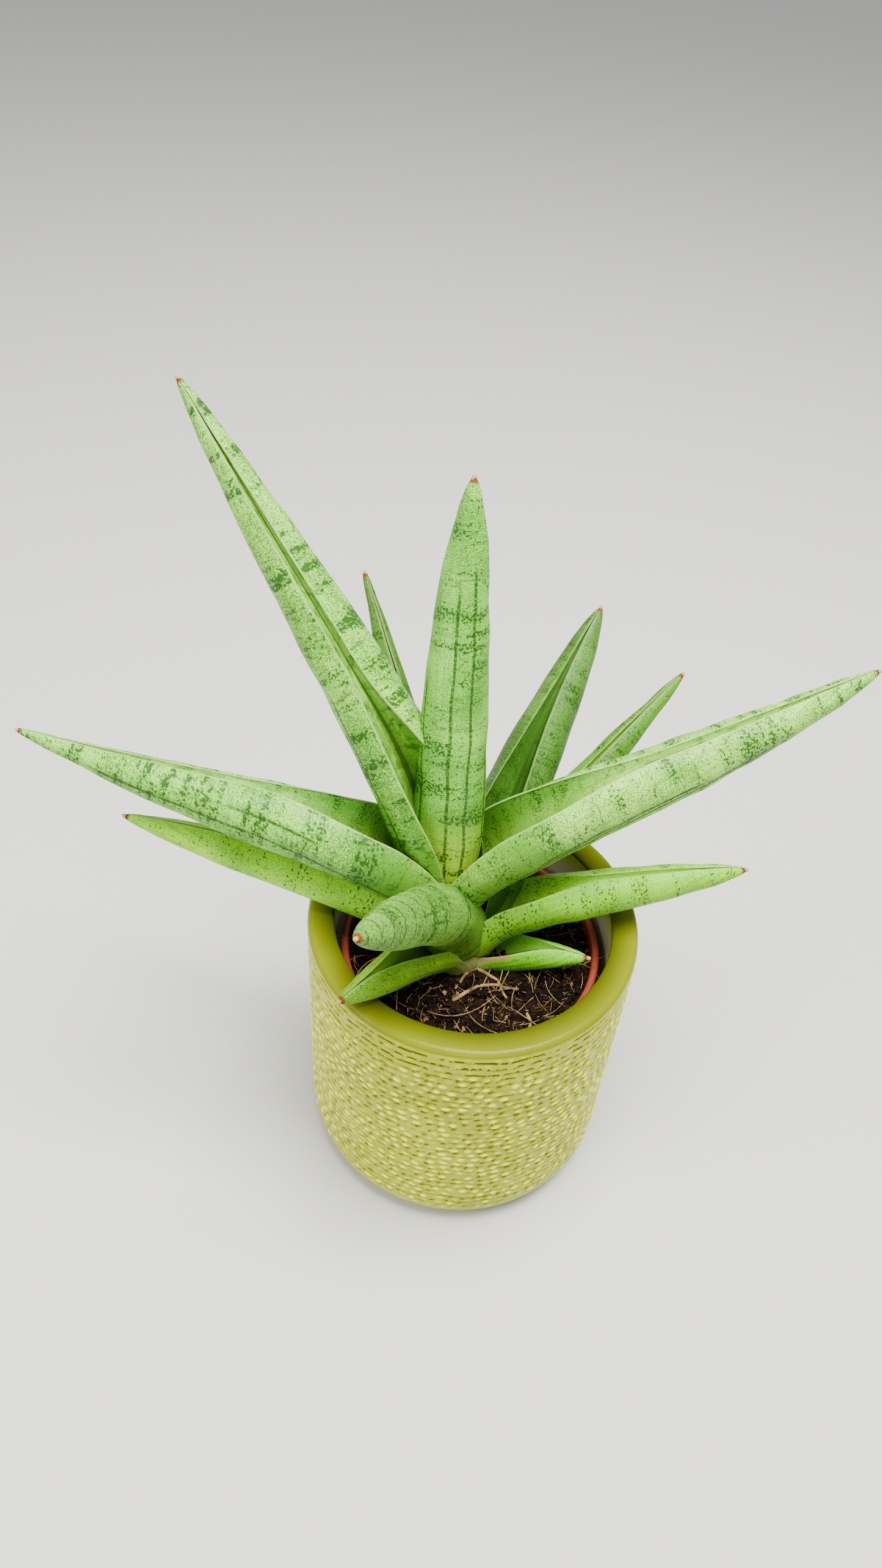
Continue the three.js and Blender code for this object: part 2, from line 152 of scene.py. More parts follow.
def off_centre(tree: Tree, value: Socket, centre: float) -> Socket:
    """Returns how far a value is from a centre, on either side."""
    past = add_node(tree, MATHS, (value, centre), operation="SUBTRACT")
    return add_node(tree, MATHS, (past,), operation="ABSOLUTE")


def window(tree: Tree, along: Socket, start: float, end: float, soft: float) -> Socket:
    """Makes a mask that holds along a part of the length.

    Args:
        tree: the tree that the nodes join.
        along: the place along the length.
        start: where the mask begins.
        end: where it ends.
        soft: the length over which it fades, inside both.

    Returns:
        The mask.
    """
    rise = add_node(tree, RANGE, (along, start, start + soft), **SMOOTH)
    fall = add_node(tree, RANGE, (along, end, end - soft), **SMOOTH)
    return overlap(tree, rise, fall)


def paint(tree: Tree, ground: Socket | str, *layers: tuple[Socket, str]) -> Socket:
    """Lays colours over a ground, one after another.

    Args:
        tree: the material's tree.
        ground: the colour below, as a socket or as "#rrggbb".
        layers: each layer's mask and colour.

    Returns:
        The socket of the finished colour.
    """
    below = srgb(ground) if isinstance(ground, str) else ground
    for mask, colour in layers:
        below = add_node(tree, MIX, {0: mask, 6: below, 7: srgb(colour)}, 2, data_type="RGBA")
    return below


def patches(
    tree: Tree, place: Socket, size: float, detail: float, low: float, high: float, strength: float = 1.0
) -> tuple[Socket, Socket]:
    """Draws soft patches.

    Args:
        tree: the material's tree.
        place: the point on the surface.
        size: the patches' size, in the units of place.
        detail: how ragged they are.
        low: where in the noise they begin.
        high: where in the noise they are full.
        strength: the mask's value there.

    Returns:
        The noise and the mask.
    """
    noise = add_node(tree, NOISE, {"Vector": place, "Scale": 1 / size, "Detail": detail})
    return noise, add_node(tree, RANGE, (noise, low, high, 0.0, strength))


def new_object(name: str, points: np.ndarray, faces: list) -> Piece:
    """Makes a smooth-shaded mesh object at the origin.

    Args:
        name: the piece's name.
        points: one row of x, y and z in millimetres for each vertex.
        faces: the vertex numbers of each face.

    Returns:
        The object, in the scene.
    """
    mesh = bpy.data.meshes.new(name)
    mesh.from_pydata((np.asarray(points) * MM).tolist(), [], faces)
    mesh.polygons.foreach_set("use_smooth", [True] * len(mesh.polygons))
    mesh.update()
    piece = bpy.data.objects.new(name, mesh)
    bpy.context.scene.collection.objects.link(piece)
    return piece


def set_attribute(piece: Piece, name: str, values: np.ndarray) -> None:
    """Stores one number or one vector for each vertex.

    Args:
        piece: the object.
        name: the attribute's name, which its material reads.
        values: one number or one row of three for each vertex.
    """
    values = np.asarray(values, np.float32)
    vector = values.ndim == 2
    layer = piece.data.attributes.new(name, "FLOAT_VECTOR" if vector else "FLOAT", "POINT")
    layer.data.foreach_set("vector" if vector else "value", values.ravel())


def grid_faces(rows: int, columns: int) -> list[tuple[int, int, int, int]]:
    """Joins rings of points by four-sided faces.

    Args:
        rows: how many rings there are.
        columns: how many points a ring has.

    Returns:
        The faces, which point outwards where rings run anticlockwise seen from the last one.
    """
    faces = []
    for i in range(rows - 1):
        for j in range(columns):
            a, b = i * columns + j, i * columns + (j + 1) % columns
            faces.append((a, b, b + columns, a + columns))
    return faces


def capped_faces(rows: int, columns: int) -> list[tuple[int, ...]]:
    """Joins rings of points and closes both ends.

    Args:
        rows: how many rings there are.
        columns: how many points a ring has.

    Returns:
        The faces. The ends close on the two points that follow the last ring.
    """
    faces = grid_faces(rows, columns)
    foot, last = rows * columns, (rows - 1) * columns
    for j in range(columns):
        k = (j + 1) % columns
        faces.append((foot, k, j))
        faces.append((foot + 1, last + j, last + k))
    return faces


def lathe(profile: list[tuple[float, float]], segments: int) -> Skin:
    """Turns a profile round the z axis.

    Args:
        profile: radius and height of each point, from the axis below to the axis again, outside first.
        segments: how many steps go round.

    Returns:
        The points and faces of a closed skin.
    """
    inner = profile[1:-1]
    angles = TURN * np.arange(segments) / segments
    rings = [np.stack([r * np.cos(angles), r * np.sin(angles), np.full(segments, z)], 1) for r, z in inner]
    points = np.concatenate([*rings, [[0, 0, profile[0][1]]], [[0, 0, profile[-1][1]]]])
    return points, capped_faces(len(inner), segments)


def arc(centre: tuple[float, float], radius: float, start: float, end: float, steps: int) -> list:
    """Returns the points of a circular arc in a profile, with its angles in degrees."""
    turns = [math.radians(mix(start, end, i / steps)) for i in range(steps + 1)]
    return [(centre[0] + radius * math.cos(a), centre[1] + radius * math.sin(a)) for a in turns]


def tube_skin(path: np.ndarray, radius: np.ndarray, sides: int = 8) -> Skin:
    """Makes a closed tube along a path.

    Args:
        path: the points of its axis.
        radius: its radius at each point.
        sides: how many sides it has.

    Returns:
        Its points and faces.
    """
    forward = np.gradient(path, axis=0)
    forward /= np.linalg.norm(forward, axis=1, keepdims=True)
    side = np.cross(forward, [0, 0, 1])
    side /= np.linalg.norm(side, axis=1, keepdims=True)
    up = np.cross(side, forward)
    angles = TURN * np.arange(sides) / sides
    ring = side[:, None] * np.cos(angles)[None, :, None] + up[:, None] * np.sin(angles)[None, :, None]
    points = (path[:, None] + ring * radius[:, None, None]).reshape(-1, 3)
    faces = [face[::-1] for face in grid_faces(len(path), sides)]
    last = (len(path) - 1) * sides
    faces.append(tuple(range(sides)))
    faces.append(tuple(last + i for i in range(sides - 1, -1, -1)))
    return points, faces


def run_nodes(piece: Piece, tree: Tree, values: dict[str, float]) -> None:
    """Runs a geometry node tree on a piece and keeps the result as its plain mesh, with no modifier left.

    Args:
        piece: the object whose mesh goes in.
        tree: the tree.
        values: a value for each named input of the tree.
    """
    modifier = piece.modifiers.new(tree.name, "NODES")
    modifier.node_group = tree
    for item in tree.interface.items_tree:
        if item.item_type == "SOCKET" and item.in_out == "INPUT" and item.name in values:
            modifier[item.identifier] = values[item.name]
    piece.update_tag()
    depsgraph = bpy.context.evaluated_depsgraph_get()
    shaped = piece.evaluated_get(depsgraph)
    made = bpy.data.meshes.new_from_object(shaped, preserve_all_data_layers=True, depsgraph=depsgraph)
    plain = piece.data
    piece.modifiers.remove(modifier)
    piece.data = made
    bpy.data.meshes.remove(plain)
    made.name = piece.name


def new_tree(name: str, numbers: dict[str, float]) -> tuple[Tree, dict[str, Socket]]:
    """Starts a geometry node tree with named inputs for its sizes.

    Args:
        name: the tree's name.
        numbers: each named input's usual value; a whole number makes a whole-number input.

    Returns:
        The tree, and the group input's sockets by name, "Geometry" among them.
    """
    tree = bpy.data.node_groups.new(name, "GeometryNodeTree")
    tree.interface.new_socket("Geometry", in_out="INPUT", socket_type="NodeSocketGeometry")
    for label, value in numbers.items():
        kind = "NodeSocketInt" if isinstance(value, int) else "NodeSocketFloat"
        tree.interface.new_socket(label, in_out="INPUT", socket_type=kind).default_value = value
    tree.interface.new_socket("Geometry", in_out="OUTPUT", socket_type="NodeSocketGeometry")
    source = tree.nodes.new("NodeGroupInput")
    return tree, {socket.name: socket for socket in source.outputs}


def end_tree(tree: Tree, geometry: Socket, material: Material) -> None:
    """Ends a geometry node tree with Realize Instances and Set Material.

    Args:
        tree: the tree.
        geometry: the socket that carries what was made.
        material: the finish of what was made.
    """
    real = add_node(tree, "GeometryNodeRealizeInstances", {"Geometry": geometry})
    dressed = add_node(tree, "GeometryNodeSetMaterial", {"Geometry": real, "Material": material})
    add_node(tree, "NodeGroupOutput", {"Geometry": dressed})


def new_material(name: str, **surface: float) -> tuple[Material, Tree, Node]:
    """Starts a material whose uniform values sit on the shader's own sockets.

    Args:
        name: what the real material is.
        surface: values by socket name, with _ for a space.

    Returns:
        The material, its tree and its Principled shader.
    """
    material = bpy.data.materials.new(name)
    material.use_nodes = True
    shader = material.node_tree.nodes["Principled BSDF"]
    for label, value in surface.items():
        shader.inputs[label.replace("_", " ")].default_value = value
    return material, material.node_tree, shader


def feed_shader(shader: Node, colour: Socket, height: Socket, strength: float, depth: float) -> None:
    """Feeds a shader its colour and its finest relief.

    Args:
        shader: the Principled shader.
        colour: the finished colour.
        height: the relief.
        strength: how much of the relief shows.
        depth: the relief's depth in millimetres.
    """
    tree = shader.id_data
    relief = {"Height": height, "Strength": strength, "Distance": depth * MM}
    tree.links.new(colour, shader.inputs["Base Color"])
    tree.links.new(add_node(tree, "ShaderNodeBump", relief), shader.inputs["Normal"])


def wear_slot(piece: Piece, node: str) -> Piece:
    """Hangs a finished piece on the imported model.

    Args:
        piece: the object, in place.
        node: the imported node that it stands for.

    Returns:
        The same piece.
    """
    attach(piece, "root")
    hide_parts(node)
    LOG.info("%s: %d faces, for %s", piece.name, len(piece.data.polygons), node)
    return piece


def relief_height(tree: Tree, place: Socket, columns: float | Socket, row_height: float | Socket) -> Socket:
    """Draws the pressed relief of the pot's wall, for its shape and for the glaze's colour alike.

    It has rows of oval knobs, each with a pit at its upper left, parted by broken creases. Under the lip the
    creases widen to rows of pits.

    Args:
        tree: a geometry or shader node tree.
        place: the point on the wall, in millimetres.
        columns: how many knobs go round the wall, a whole even number.
        row_height: height of a row of knobs in millimetres.

    Returns:
        A socket with the height, from about -1 in a pit to 1 on a knob.
    """
    add = partial(add_node, tree)
    # The rows and columns sway a little.
    wander = add(NOISE, {"Vector": place, "Scale": 1 / 14, "Detail": 1.0}, "Color")
    sway = add(VECTOR, (wander, (-0.5, -0.5, -0.5)), operation="ADD")
    swayed = add(VECTOR, (sway, (5.0, 5.0, 3.4), place), operation="MULTIPLY_ADD")
    x, y, z = add(SPLIT, (swayed,)).node.outputs
    # Each place falls in a cell of one knob. A row is slipped sideways against the next.
    turn = add(MATHS, (y, x), operation="ARCTAN2")
    pitch = add(MATHS, (columns, TURN), operation="DIVIDE")
    around = overlap(tree, turn, pitch)
    up = add(MATHS, (z, row_height), operation="DIVIDE")
    row = add(MATHS, (up,), operation="FLOOR")
    slip = add(DICE, {"W": row}, noise_dimensions="1D")
    slipped = add(MATHS, (slip, 7.0, around), operation="MULTIPLY_ADD")
    column = add(MATHS, (slipped,), operation="FLOOR")
    wrapped = add(MATHS, (column, columns), operation="FLOORED_MODULO")
    cell = add(JOIN, (wrapped, row))
    dice = add(DICE, {"Vector": cell}, "Color", noise_dimensions="3D")
    size_chance, pit_chance, _ = add(SPLIT, (dice,)).node.outputs
    grid = add(JOIN, (slipped, up))
    inside = add(VECTOR, (grid,), operation="FRACTION")
    jittered = add(VECTOR, (dice, (0.3, 0.3, 0), inside), operation="MULTIPLY_ADD")
    spot = add(VECTOR, (jittered, (-0.65, -0.65, 0)), operation="ADD")
    off_knob = add(VECTOR, (spot,), "Value", operation="LENGTH")
    dome = add(RANGE, (off_knob, 0.5, 0.08), **SMOOTH)
    size = add(RANGE, (size_chance, 0.0, 0.85, 0.22))
    knob = overlap(tree, size, dome)
    bare = add(MATHS, (1.0, dome), operation="SUBTRACT")
    beside = add(VECTOR, (spot, (0.34, -0.26, 0)), operation="ADD")
    oblong = add(VECTOR, (beside, (0.8, 1.3, 0)), operation="MULTIPLY")
    off_pit = add(VECTOR, (oblong,), "Value", operation="LENGTH")
    pit = add(RANGE, (off_pit, 0.3, 0.12, 0.0, -1.0), **SMOOTH)
    pitted = add(RANGE, (pit_chance, 0.2, 0.5))
    sunk = add(MATHS, (overlap(tree, pit, pitted), bare, knob), operation="MULTIPLY_ADD")
    # A broken crease runs along each row's edge, and under the lip a wide one.
    stretched = add(VECTOR, (swayed, (1 / 2.4, 1 / 2.4, 1 / 2.2)), operation="MULTIPLY")
    seam = add(NOISE, {"Vector": stretched, "Scale": 1.0, "Detail": 1.0})
    off_edge = add(MATHS, (up, 0.5), operation="PINGPONG")
    thin = add(RANGE, (off_edge, 0.16, 0.04), **SMOOTH)
    broken = add(RANGE, (seam, 0.46, 0.56, 0.0, -0.55), **SMOOTH)
    low = add(MATHS, (overlap(tree, thin, broken), bare, sunk), operation="MULTIPLY_ADD")
    row_share = add(MATHS, (up,), operation="FRACT")
    wide = add(RANGE, (off_centre(tree, row_share, 0.5), 0.28, 0.44), **SMOOTH)
    open_pit = add(RANGE, (seam, 0.44, 0.52, 0.0, -1.3), **SMOOTH)
    ledge = add(MATHS, (knob, 0.4, overlap(tree, wide, open_pit)), operation="MULTIPLY_ADD")
    sway_x, _, _ = add(SPLIT, (sway,)).node.outputs
    wavering = add(MATHS, (sway_x, 14.0, z), operation="MULTIPLY_ADD")
    upper = add(RANGE, (wavering, Cachepot.dash_foot, Cachepot.dash_foot + 8), **SMOOTH)
    return add(MIX, {0: upper, 2: low, 3: ledge}, data_type="FLOAT")


@dataclass(frozen=True)
class ReliefGlaze:
    """Coloured glaze fired on pressed stoneware: glossy; knob tops are paler, partly the glaze breaking thin
    and partly painted highlight, and pits and creases darker, partly pooled glaze and partly painted shade.
    """

    name: str = "reactive_glaze_on_stoneware"
    body: str = "#b2ba04"
    pooled_and_pit_shade: str = "#6a7104"
    knob_tops_and_highlight: str = "#f4f64c"
    lip: str = "#454b04"
    bare: str = "#d6d0b4"
    columns: int = 78
    row_height: float = 3.5

    def material(self) -> Material:
        """Makes the glaze.

        Returns:
            The material, coloured by the same relief that shapes the wall.
        """
        material, tree, shader = new_material(self.name, Roughness=0.18, IOR=1.5, Specular_IOR_Level=0.1)
        add = partial(add_node, tree)
        metres = add("ShaderNodeTexCoord", output="Object")
        place = add(VECTOR, {0: metres, "Scale": 1 / MM}, operation="SCALE")
        height = relief_height(tree, place, self.columns, self.row_height)
        names = ("relief_mask", "unglazed", "lip")
        mask, unglazed, lip = (add(OWN, output="Fac", attribute_name=name) for name in names)
        pressed = overlap(tree, height, mask)
        # Knob tops turn pale: partly the glaze breaking thin there, partly a painted highlight.
        high = add(RANGE, (pressed, 0.1, 0.85), **SMOOTH)
        # Pits and creases turn darker: partly glaze pooled in them, partly painted shade.
        pit_pool_and_shade = add(RANGE, (pressed, -0.1, -0.85), **SMOOTH)
        _, cloudy = patches(tree, place, 22, 3.0, 0.35, 0.7, 0.35)
        layers = ((cloudy, self.pooled_and_pit_shade), (lip, self.lip), (high, self.knob_tops_and_highlight), (pit_pool_and_shade, self.pooled_and_pit_shade))
        colour = paint(tree, self.body, *layers, (unglazed, self.bare))
        fine = add(NOISE, {"Vector": place, "Scale": 1 / 0.9, "Detail": 2.0})
        crisp = add(MATHS, (fine, 0.25, pressed), operation="MULTIPLY_ADD")
        feed_shader(shader, colour, crisp, 0.7, 0.5)
        return material


@dataclass
class Cachepot:
    """The ceramic outer pot: a thick wall with a rounded foot, a rolled lip and a pressed relief."""

    radius: float = 60
    height: float = 120
    corner_radius: float = 13
    lip_radius: float = 2.6
    mouth_radius: float = 50.4
    mouth_edge: float = 1.3
    inner_radius: float = 52.5
    floor: float = 8
    segments: int = 520
    wall_rows: int = 150
    relief_foot: float = 9
    relief_head: float = 118.2
    dash_foot: float = 101
    relief_depth: float = 0.6
    lip_reach: float = 3.5
    unglazed_from: float = 116
    unglazed_below: float = 107
    glaze: ReliefGlaze = ReliefGlaze()

    def profile(self) -> list[tuple[float, float]]:
        """Draws the half section.

        Returns:
            Radius and height of each point, from the resting face up the outside and down the inside.
        """
        corner, edge = self.radius - self.corner_radius, self.mouth_edge
        shoulder = self.height - self.lip_radius
        heights = [mix(self.corner_radius, shoulder, i / self.wall_rows) for i in range(1, self.wall_rows)]
        return [
            (0, 0),
            *arc((corner, self.corner_radius), self.corner_radius, -90, 0, 12),
            *((self.radius, z) for z in heights),
            *arc((self.radius - self.lip_radius, shoulder), self.lip_radius, 0, 90, 9),
            *arc((self.mouth_radius + edge, self.height - edge), edge, 100, 180, 5),
            (self.mouth_radius, shoulder),
            (self.mouth_radius + 0.2, shoulder - 5),
            (self.mouth_radius + 0.4, shoulder - 15),
            (self.inner_radius, mix(self.floor, shoulder, 0.6)),
            (self.inner_radius, self.floor + 6),
            (self.inner_radius - 1.8, self.floor + 1.8),
            (self.inner_radius - 6, self.floor),
            (0, self.floor),
        ]

    def relief_tree(self, material: Material, sizes: dict[str, float]) -> Tree:
        """Builds the tree that raises and sinks the wall by the relief.

        Args:
            material: the pot's finish.
            sizes: each named input's usual value.

        Returns:
            The tree, which moves the wall as far as its mask lets it.
        """
        tree, given = new_tree("pressed_relief", sizes)
        add = partial(add_node, tree)
        place = add(VECTOR, {0: add(PLACE), "Scale": 1 / MM}, operation="SCALE")
        height = relief_height(tree, place, given["Columns"], given["Row height"])
        mask = add("GeometryNodeInputNamedAttribute", {"Name": "relief_mask"}, data_type="FLOAT")
        metric = overlap(tree, height, mask, given["Relief depth"], MM)
        push = add(VECTOR, {0: add("GeometryNodeInputNormal"), "Scale": metric}, operation="SCALE")
        moved = add("GeometryNodeSetPosition", {"Geometry": given["Geometry"], "Offset": push})
        end_tree(tree, moved, material)
        return tree

    def make(self) -> Piece:
        """Builds and dresses the pot.

        Returns:
            The pot.
        """
        points, faces = lathe(self.profile(), self.segments)
        pot = new_object("glazed_cachepot", points, faces)
        z = points[:, 2]
        r = np.hypot(points[:, 0], points[:, 1])
        lip_start = self.mouth_radius + self.lip_reach
        fade = ease(self.relief_foot, self.relief_foot + 7, z)
        fade = fade * (1 - ease(self.relief_head - 0.8, self.relief_head, z))
        set_attribute(pot, "relief_mask", np.where(r > lip_start, fade, 0))
        inside = (r < self.mouth_radius + 3) & (z > self.floor - 1)
        bare = 1 - ease(self.unglazed_below, self.unglazed_from, z)
        set_attribute(pot, "unglazed", np.where(inside, bare, 0))
        inward = 1 - ease(lip_start, self.radius - 1, r)
        rolled = ease(self.relief_head - 0.6, self.relief_head + 0.4, z)
        set_attribute(pot, "lip", rolled * mix(0.7, 1.0, inward))
        sizes = {
            "Columns": float(self.glaze.columns),
            "Row height": self.glaze.row_height,
            "Relief depth": self.relief_depth,
        }
        run_nodes(pot, self.relief_tree(self.glaze.material(), sizes), sizes)
        return wear_slot(pot, "cachepot")


@dataclass(frozen=True)
class GrowPotPlastic:
    """Thin polypropylene, thermoformed and coloured terracotta: semi-matt, a little dusty with peat."""

    name: str = "thermoformed_terracotta_polypropylene"
    colour: str = "#96371a"
    worn: str = "#6c2410"
    dust: str = "#3a2414"

    def material(self) -> Material:
        """Makes the plastic.

        Returns:
            The material, with peat dust in specks and faint sheet marks.
        """
        material, tree, shader = new_material(self.name, Roughness=0.45, IOR=1.49)
        add = partial(add_node, tree)
        metres = add("ShaderNodeTexCoord", output="Object")
        cloud = add(NOISE, {"Vector": metres, "Scale": 1 / (9 * MM), "Detail": 4.0})
        grit = add("ShaderNodeTexVoronoi", {"Vector": metres, "Scale": 1 / (2.2 * MM)}, "Distance")
        speck = add(RANGE, (grit, 0.22, 0.1, 0.0, 0.7))
        colour = paint(tree, self.colour, (cloud, self.worn), (speck, self.dust))
        feed_shader(shader, colour, cloud, 0.3, 0.2)
        return material


@dataclass
class GrowPot:
    """The thin plastic pot that the plant was grown in, with its rim band."""

    rim_radius: float = 48
    rim_height: float = 104
    rim_band: float = 4
    base_radius: float = 36
    wall: float = 1.1
    step: float = 1.4
    standing: float = 8.35
    middle: float = 60
    segments: int = 160
    sharp_angle: float = 50
    plastic: GrowPotPlastic = GrowPotPlastic()

    def inside(self, z: float) -> float:
        """Returns the inner radius at a height."""
        rise = (z - self.standing) / (self.rim_height - self.standing)
        return mix(self.base_radius, self.rim_radius - self.step, rise) - self.wall

    def make(self) -> Piece:
        """Builds and dresses the pot.

        Returns:
            The pot.
        """
        top, band = self.rim_height, self.rim_height - self.rim_band
        profile = [
            (0, self.standing),
            (self.base_radius - 1, self.standing),
            (self.base_radius, self.standing + 0.6),
            (self.inside(self.middle) + self.wall, self.middle),
            (self.inside(band) + self.wall, band),
            (self.rim_radius - 0.3, band),
            (self.rim_radius, band + 0.4),
            (self.rim_radius, top - 0.8),
            (self.rim_radius - 0.25, top - 0.25),
            (self.rim_radius - 0.8, top),
            (self.inside(top) + 0.5, top),
            (self.inside(top), top - 0.4),
            (self.inside(top - 2), top - 2),
            (self.inside(self.middle), self.middle),
            (self.inside(self.standing + self.wall), self.standing + self.wall),
            (0, self.standing + self.wall),
        ]
        pot = new_object("terracotta_grow_pot", *lathe(profile, self.segments))
        pot.data.set_sharp_from_angle(angle=math.radians(self.sharp_angle))
        pot.data.materials.append(self.plastic.material())
        return wear_slot(pot, "nursery_pot")


@dataclass(frozen=True)
class Peat:
    """Damp sphagnum peat with coir: near black, crumbly and dull, with paler dry flecks."""

    name: str = "damp_peat_and_coir"
    dark: str = "#0b0704"
    brown: str = "#1e1208"
    dry: str = "#4a3018"

    def material(self) -> Material:
        """Makes the peat.

        Returns:
            The material, whose flecks are about a millimetre.
        """
        material, tree, shader = new_material(self.name, Roughness=0.95, Specular_IOR_Level=0.1)
        metres = add_node(tree, "ShaderNodeTexCoord", output="Object")
        _, tint = patches(tree, metres, 7 * MM, 6.0, 0.38, 0.66)
        grain, fleck = patches(tree, metres, 1.1 * MM, 3.0, 0.57, 0.7, 0.85)
        colour = paint(tree, self.dark, (tint, self.brown), (fleck, self.dry))
        feed_shader(shader, colour, grain, 1.0, 1.2)
        return material


@dataclass(frozen=True)
class DryFibre:
    """Dry root skin and coir: pale tan, matt and finely ridged along its length."""

    name: str = "dry_root_skin_and_coir"
    pale: str = "#96794a"
    tan: str = "#54401f"

    def material(self) -> Material:
        """Makes the fibre.

        Returns:
            The material, from tan to pale along and between the strands.
        """
        material, tree, shader = new_material(self.name, Roughness=0.8, Specular_IOR_Level=0.2)
        metres = add_node(tree, "ShaderNodeTexCoord", output="Object")
        cloud, share = patches(tree, metres, 3 * MM, 4.0, 0.35, 0.65)
        feed_shader(shader, paint(tree, self.tan, (share, self.pale)), cloud, 0.5, 0.3)
        return material


@dataclass(frozen=True)
class Stem:
    """Where the stem stands and how it leans, which the soil and every leaf share."""

    x: float = -3.0
    y: float = -4.0
    lean_x: float = -0.19
    lean_y: float = 0.1
    lean_from: float = 103.0
    bottom: float = 88.0
    top: float = 131.0

    @classmethod
    def axis(cls, z: Numbers) -> np.ndarray:
        """Returns the axis point at a height, or one row for each height."""
        up = np.asarray(z) - cls.lean_from
        return np.stack([cls.x + cls.lean_x * up, cls.y + cls.lean_y * up, np.asarray(z, float)], -1)


class Litter(Enum):
    """The kinds of loose things on the soil. The value names the piece."""

    CRUMBS = "crumbs"
    CHIPS = "chips"
    STRANDS = "strands"
    ROOTLETS = "rootlets"

    @property
    def is_thread(self) -> bool:
        """Returns whether it is made of strands that lie flat, rather than of tumbled lumps."""
        return self in (Litter.STRANDS, Litter.ROOTLETS)


@dataclass(frozen=True)
class Strewing:
    """How one kind of litter is strewn: how many, how far apart in millimetres, and between which scales."""

    kind: Litter
    count: int
    spacing: float
    smallest: float
    largest: float
    finish: Peat | DryFibre


